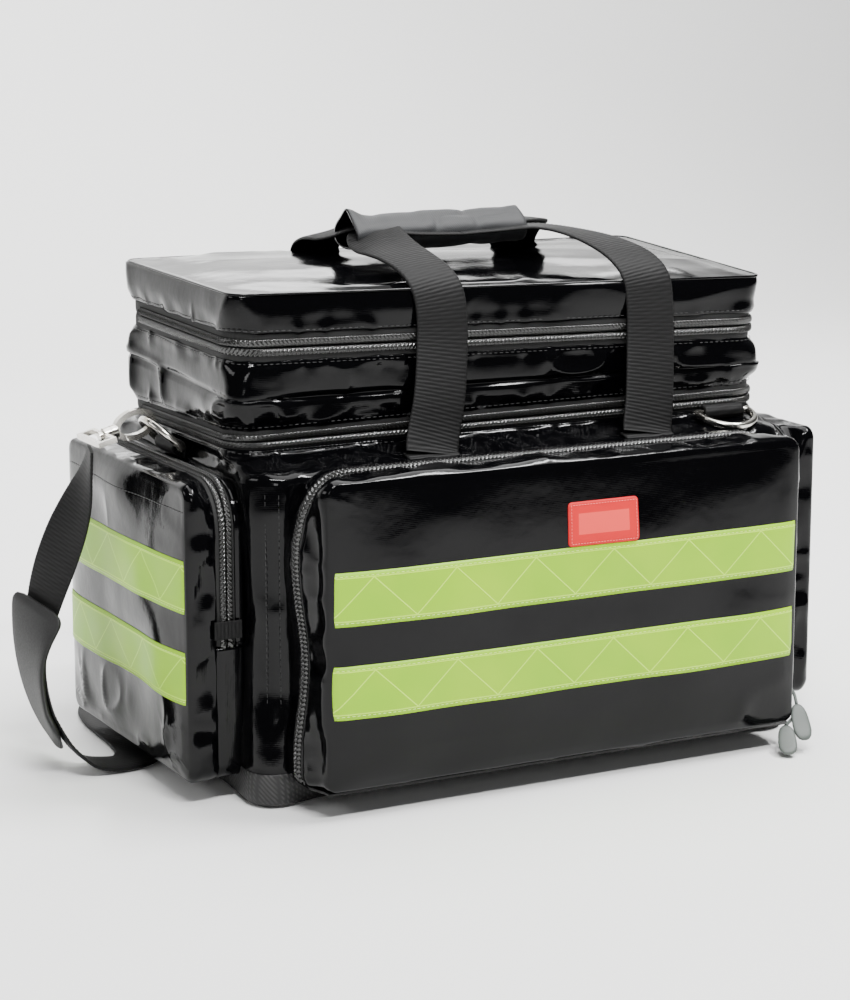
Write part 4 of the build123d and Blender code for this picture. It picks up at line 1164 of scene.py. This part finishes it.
def close_ends(piece, rows, columns):
    """One face over each end of a band."""
    work = bmesh.new()
    work.from_mesh(piece.data)
    work.verts.ensure_lookup_table()
    work.faces.new([work.verts[i] for i in range(columns)])
    work.faces.new([work.verts[i] for i in range((rows - 1) * columns, rows * columns)][::-1])
    bmesh.ops.recalc_face_normals(work, faces=work.faces)
    work.to_mesh(piece.data)
    work.free()


LEG_LEFT = [
    (-68, -110.5, 203.6), (-67, -108, 208), (-63, -104, 219), (-58, -101, 235), (-54, -96, 254),
    (-51, -91.5, 272), (-51, -90.5, 290), (-53, -87, 303), (-56, -77, 312), (-59, -60, 318),
    (-62, -42, 322), (-63, -24, 326), (-58, -10, 329), (-46, -6, 329), (-30, -6, 327),
    (0, -6, 326),
]
LEG_RIGHT = [
    (86, -110.5, 203.6), (87, -108, 208), (91, -104, 221), (95, -98, 242), (98, -93, 262),
    (99, -90.5, 284), (98, -88, 301), (94, -74, 313), (86, -52, 321), (74, -30, 326),
    (60, -14, 328), (46, -7, 328), (30, -6, 327), (0, -6, 326),
]


def leg_line(points, way):
    """Route of one leg with its across-direction: along the bag, then turned to lie in the grip."""
    points = np.array(points, float)
    if way > 0:
        points = points * (1, -1, 1) + (0, 0, 2.6)
        points[0, 2] -= 2.6
        points[1, 2] -= 1.6
    share = np.linspace(0, 1, len(points))
    left = points[0, 0] < 0
    start = np.array([1.0, 0.0, 0.0])
    end = np.array([0.0, way if left else -way, 0.0])
    turn = ease(share, 0.5, 0.86)[:, None]
    across = start * (1 - turn) + end * turn
    return eased_path(np.concatenate([points, across], axis=1))


for way, body, anchor, keep in ((-1, "front_handle", -0.112, 0.1), (1, "rear_handle", 0.1185, 0.05)):
    for side, points in (("left", LEG_LEFT), ("right", LEG_RIGHT)):
        line = leg_line(points, way)
        piece = webbing(f"{body}_{side}_leg", line, HANDLE_WIDTH, 2.0, cup=-0.6 * way)
        settle_in(piece, body, "webbing", *([f"{body}_webbing"] if side == "left" else []))
        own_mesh(piece)


def grip():
    """Wrap round the two runs of webbing: a rounded section drawn up to a ridge, flared at its ends."""
    low, high = GRIP[0], GRIP[1]
    x = np.linspace(low[0], high[0], 60)
    share = (x - low[0]) / (high[0] - low[0])
    turn = np.linspace(-np.pi / 2, 3 * np.pi / 2, 40, endpoint=False)
    wide = 13.5 + 1.5 * np.sin(share * np.pi) + 2.0 * (1 - ease(share, 0.0, 0.12))
    tall = 8.5 + 0.8 * np.sin(share * np.pi)
    peak = np.exp(-((turn - np.pi / 2) / 0.5) ** 2)
    flare = 4.5 * (1 - ease(share, 0, 0.1)) + 2.0 * ease(share, 0.9, 1)
    y = wide[:, None] * np.cos(turn)[None] * (1 - 0.25 * peak[None])
    z = 326.5 + tall[:, None] * np.sin(turn)[None] + peak[None] * (2.0 + flare[:, None])
    grid = np.stack([x[:, None] + 0 * y, y, z], axis=2)
    wrinkle = soft_noise(grid, (9, 30, 30), 121) * 0.5 + soft_noise(grid, (24, 20, 20), 122) * 0.6
    wrinkle = wrinkle + (creases(grid, (26, 16, 16), 123) - 0.3) * 1.4
    return push(grid[::-1], wrinkle[::-1])


wrap = grid_piece("grip_wrap_sewn", grip(), PVC, closed=True, inner=LINING, wall=1.6)
settle_in(wrap, "front_handle", "coated_fabric", "grip_wrap")
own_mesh(wrap)


# ---- shoulder strap ---------------------------------------------------------------------------
STRAP = [
    (-246.0, 0.0, 204.0), (-247, 0.3, 194), (-253, 5, 170), (-261, 17, 140), (-269, 30, 104),
    (-274, 33, 70), (-272, 22, 40), (-265, 6, 20), (-257, -1, 9.5), (-250, -1, 4.8),
    (-236, -1, 2.4), (-222, 2, 1.7), (-212, 16, 1.7), (-208, 38, 1.7), (-207, 66, 1.7),
    (-205, 98, 1.7), (-198, 126, 1.7), (-180, 150, 1.7), (-152, 166, 1.7), (-112, 175, 1.7),
    (-62, 177, 1.7), (-10, 175, 1.7), (42, 172, 1.7), (92, 173, 1.7), (136, 178, 1.7),
    (170, 179, 1.7), (193, 168, 1.8), (206, 150, 2.6), (213, 138, 8), (217, 130, 21),
    (220, 124, 46), (223, 121, 84), (225, 119, 124), (227, 117, 160), (229, 114, 185),
    (232, 107, 198), (235, 95, 203), (240, 82, 204.4), (243.5, 69, 204.6), (245, 58, 205),
    (242.5, 49, 207.5), (236.5, 42.2, 213.0),
]
STRAP_ACROSS = [
    (0.3, 1, 0), (0.25, 1, 0), (-0.3, 0.95, 0), (-0.6, 0.8, 0), (-0.4, 0.92, 0), (0, 1, 0),
    (0.1, 1, 0.1), (0.05, 1, 0.1), (0, 1, 0), (0, 1, 0), (0.1, 1, 0), (-0.45, 0.9, 0),
    (-0.9, 0.4, 0), (-1, 0.1, 0), (-1, 0, 0), (-1, -0.1, 0), (-0.9, -0.3, 0), (-0.7, -0.7, 0),
    (-0.4, -0.9, 0), (-0.1, -1, 0), (0, -1, 0), (0.02, -1, 0), (0, -1, 0), (-0.05, -1, 0),
    (-0.15, -1, 0), (0.2, -1, 0), (-0.63, -0.78, 0), (-0.83, -0.55, 0), (-0.9, -0.44, 0),
    (-0.97, -0.2, 0), (-1, 0, 0), (-1, -0.02, 0), (-1, -0.03, 0), (-1, -0.04, 0), (-1, -0.05, 0),
    (-1, -0.06, 0), (-1, 0.02, 0), (-0.97, 0.15, 0), (-0.9, 0.4, 0), (-0.8, 0.6, 0),
    (-0.7, 0.7, -0.15), (-0.66, 0.71, -0.24),
]


def smooth_line(points):
    """Points of a smooth spline with the given control points, read from a curve with no bevel."""
    data = bpy.data.curves.new("route", "CURVE")
    data.dimensions = "3D"
    data.resolution_u = 12
    spline = data.splines.new("NURBS")
    spline.points.add(len(points) - 1)
    flat = np.concatenate([np.asarray(points, float) * MM, np.ones((len(points), 1))], axis=1)
    spline.points.foreach_set("co", flat.reshape(-1).astype(np.float32))
    spline.order_u = 3
    spline.use_endpoint_u = True
    holder = bpy.data.objects.new("route", data)
    bpy.context.scene.collection.objects.link(holder)
    mesh = bpy.data.meshes.new_from_object(holder)
    places = np.empty(len(mesh.vertices) * 3, np.float32)
    mesh.vertices.foreach_get("co", places)
    bpy.data.objects.remove(holder)
    bpy.data.curves.remove(data)
    bpy.data.meshes.remove(mesh)
    return places.reshape(-1, 3).astype(float) / MM


strap_line = smooth_line(STRAP)
strap_across = smooth_line(STRAP_ACROSS)
strap_rows = np.concatenate([strap_line, strap_across], axis=1)
strap = webbing("shoulder_strap", strap_rows, STRAP_WIDTH, 1.9, step=0.8)
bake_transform(strap)
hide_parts("strap_webbing_hanging", "strap_webbing_lying")


def shoulder_pad():
    """Moulded pad outside the webbing: a thick band with rounded ends and a swollen middle."""
    ends = np.array([STRAP[4], STRAP[7]])
    spots = np.linalg.norm(strap_line[:, None] - ends[None], axis=2).argmin(axis=0)
    part = strap_rows[spots[0]:spots[1] + 1]
    line, along = even(part, 1.5)
    path, across = line[:, :3], line[:, 3:]
    run = tangents(path)
    across = squared(across, run)
    out = np.cross(run, across)
    if out[0, 0] > 0:
        out = -out
    end_gap = np.minimum(along, along[-1] - along)
    narrow = np.sqrt(1 - (1 - np.clip(end_gap / 9, 0, 1)) ** 2) * 0.35 + 0.65
    narrow[[0, -1]] = 0.6
    turn = np.linspace(0, 2 * np.pi, 28, endpoint=False)
    wide = rounded(np.cos(turn), 0.35) * 24.5
    thick = rounded(np.sin(turn), 0.6) * 2.4
    swell = np.clip(end_gap / 5, 0.12, 1) ** 0.5
    return (
        path[:, None] + across[:, None] * (narrow[:, None] * wide[None])[..., None]
        + out[:, None] * (4.1 + thick[None] * swell[:, None])[..., None]
    )


pad_grid = shoulder_pad()
pad = grid_piece("shoulder_pad_moulded", pad_grid, PAD_SKIN, closed=True)
close_ends(pad, len(pad_grid), 28)
settle_in(pad, "strap_left", "pad", "shoulder_pad")


# ---- small parts kept from the frame ----------------------------------------------------------
def finish_nodes(material, *names):
    """Give CAD nodes a finish."""
    for name in names:
        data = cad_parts[name].data
        data.materials.clear()
        data.materials.append(material)


finish_nodes(
    NICKEL, "side_rings", "front_d_ring", "left_hook", "right_hook",
    "left_hook_gate", "right_hook_gate", "left_hook_eye", "right_hook_eye",
)
finish_nodes(BLACK_METAL, "front_upper_slider", "front_lower_slider")
finish_nodes(BLACK_METAL, *(f"{zipper}_zip_slider" for zipper in ("main", "top", "left", "right")))
finish_nodes(BLACK_RUBBER, *(f"{zipper}_zip_pull" for zipper in ("main", "top", "left", "right")))


def pull_tab(name, body, node, top, bend, knee, tip):
    """Zip pull: a cord from the slider to a moulded tab that leans down to the floor.

    The tab's section is a rounded oblong, its width eased to a round at both ends.
    """
    top, bend, knee, tip = (np.array(p, float) for p in (top, bend, knee, tip))
    cord = eased_path(np.stack([top, bend, knee]), 3)
    tube(f"{name}_cord", cord, 1.1, RUBBER, body, "puller", closed=False)
    share = np.array([0.0, 0.02, 0.06, 0.14, 0.26, 0.4, 0.6, 0.75, 0.88, 0.95, 0.985, 1.0])
    run = (tip - knee) / np.linalg.norm(tip - knee)
    side = np.cross(run, (0, 0.0, 1.0))
    side /= np.linalg.norm(side)
    out = np.cross(side, run)
    length = np.linalg.norm(tip - knee)
    spread = 6.6 * np.sqrt(np.clip(1 - np.abs(2 * share - 1) ** 3.2, 0, 1)) * (0.78 + 0.22 * share)
    thick = 1.5 * np.clip(1 - np.abs(2 * share - 1) ** 10, 0, 1) ** 0.5
    turn = np.linspace(0, 2 * np.pi, 20, endpoint=False)
    wide, tall = rounded(np.cos(turn), 0.5), rounded(np.sin(turn), 0.7)
    grip_dent = 1 - 0.3 * np.exp(-((share - 0.6) / 0.2) ** 2)
    grid = (
        (knee + run * length * share[:, None])[:, None]
        + side * (spread[:, None] * wide)[..., None]
        + out * ((thick * grip_dent)[:, None] * tall)[..., None]
    )
    tab = grid_piece(f"{name}_tab", grid, RUBBER, closed=True, weld=True)
    settle_in(tab, body, "puller", node)


pull_tab(
    "front_lower", "front_pull_lower", "front_lower_pull",
    (171.5, -141, 25), (171.5, -159, 20), (158, -166.5, 16.5), (149.5, -182.5, 2.6),
)
pull_tab(
    "front_upper", "front_pull_upper", "front_upper_pull",
    (173, -139, 38), (174, -152, 34), (171.5, -159, 27), (165.5, -177.5, 8.5),
)
finish_nodes(ACETAL, "strap_adjuster")
finish_nodes(BOARD, "base_board")


# ---- sewn tabs and inside panels --------------------------------------------------------------
for face in ("left", "right"):
    for end, name in ((-1, "front"), (1, "rear")):
        ends = np.array([(end * (side_half + 3.6), 107.2, w) for w in (191.5, 196, 200, 204, 209)])
        sides = np.broadcast_to(np.array([0.0, 1.0, 0.0]), ends.shape)
        path, upward = onto(face, ends), onto(face, sides)
        tab = webbing(f"{face}_zip_{name}_stop", np.concatenate([path, upward], axis=1), 11.0, 1.6)
        settle_in(tab, "body", "webbing")


def ring_loop(centre, out, tail, reach):
    """Webbing tab folded round a ring's bar: out along its tail, three quarters round, and back."""
    centre, out, tail = (np.array(v, float) for v in (centre, out, tail))
    turn = np.radians(np.linspace(200, -60, 14))[:, None]
    up = np.array([0.0, 0.0, 1.0])
    circle = centre + 3.95 * (np.cos(turn) * out + np.sin(turn) * up)
    foot = centre + tail * reach
    halfway = foot * 0.5 + circle[0] * 0.5
    return np.concatenate([foot[None], halfway[None], circle, (foot - tail * 0.6)[None]])


for name, centre, out, tail, across in (
    ("left_ring_tab", (-193.5, 0, 202.5), (-1, 0, 0), (0.41, 0, -0.91), (0, 1, 0)),
    ("right_ring_tab", (193.5, 0, 202.5), (1, 0, 0), (-0.41, 0, -0.91), (0, 1, 0)),
    ("front_ring_tab", (153, -93.5, 210.0), (0, -1, 0), (0, 1, 0), (1, 0, 0)),
):
    route = ring_loop(centre, out, tail, 7.6)
    sides = np.broadcast_to(np.array(across, float), route.shape)
    piece = webbing(name, np.concatenate([route, sides], axis=1), 29.6, 1.6)
    settle_in(piece, "body", "webbing", *(["ring_tabs"] if name == "left_ring_tab" else []))

ANCHOR_LINE = ((117, 199.6), (114, 201.2), (110, 202.7), (105, 204.0))
for way, side in ((-1, "front"), (1, "rear")):
    for foot_x, hand in ((-68.0, "left"), (86.0, "right")):
        spots = np.array([(foot_x, way * y, z) for y, z in ANCHOR_LINE])
        sides = np.broadcast_to(np.array([1.0, 0.0, 0.0]), spots.shape)
        rows = np.concatenate([spots, sides], axis=1)
        piece = webbing(f"{side}_{hand}_anchor", rows, HANDLE_WIDTH, 1.8, step=0.5)
        first = (side, hand) == ("front", "left")
        settle_in(piece, "body", "webbing", *(["handle_anchor_tabs"] if first else []))


def divider(x):
    """Stiffened inside panel: an upright oblong with squared sides, closing at its front and rear edge."""
    turn = np.linspace(0, 2 * np.pi, 16, endpoint=False)
    share = np.array([0.0, 0.02, 0.05, 0.1, 0.3, 0.5, 0.7, 0.9, 0.95, 0.98, 1.0])
    y = -112.0 + 224.0 * share
    full = np.sqrt(np.clip(1 - np.abs(2 * share - 1) ** 24, 0, 1))
    wide, tall = 2.3 * rounded(np.cos(turn), 0.4), 59.4 * rounded(np.sin(turn), 0.12)
    z = 69.5 + (0.96 + 0.04 * full)[:, None] * tall
    return np.stack([x + full[:, None] * wide, y[:, None] + 0 * wide, z], axis=2)


for x, name in ((-60.0, "left_divider"), (60.0, "right_divider")):
    piece = grid_piece(name, divider(x)[::-1], LINING, closed=True, weld=True)
    settle_in(piece, "body", "lining", *(["divider_panels"] if x < 0 else []))


# ---- floor and surroundings -------------------------------------------------------------------
def floor():
    """Plain pale floor that curves up into a backdrop."""
    turn = np.linspace(0, np.pi / 2, 16)
    y = np.concatenate([[-4.0, 1.6], 1.6 + 0.8 * np.sin(turn[1:]), [2.4]])
    z = np.concatenate([[0.0, 0.0], 0.8 - 0.8 * np.cos(turn[1:]), [3.2]])
    x = np.linspace(-4, 4, 9)
    return np.stack(np.broadcast_arrays(x[None, :], y[:, None], z[:, None]), axis=2) / MM


FLOOR = plain("matt_floor_paint", "f4f4f3", 0.75, grain=1.0)
ground = grid_piece("floor", floor() - (0, 0, 0.2), FLOOR)
world = bpy.data.worlds.new("studio")
bpy.context.scene.world = world
world.use_nodes = True
world.node_tree.nodes["Background"].inputs["Color"].default_value = linear("f4f6f8")
world.node_tree.nodes["Background"].inputs["Strength"].default_value = 0.1
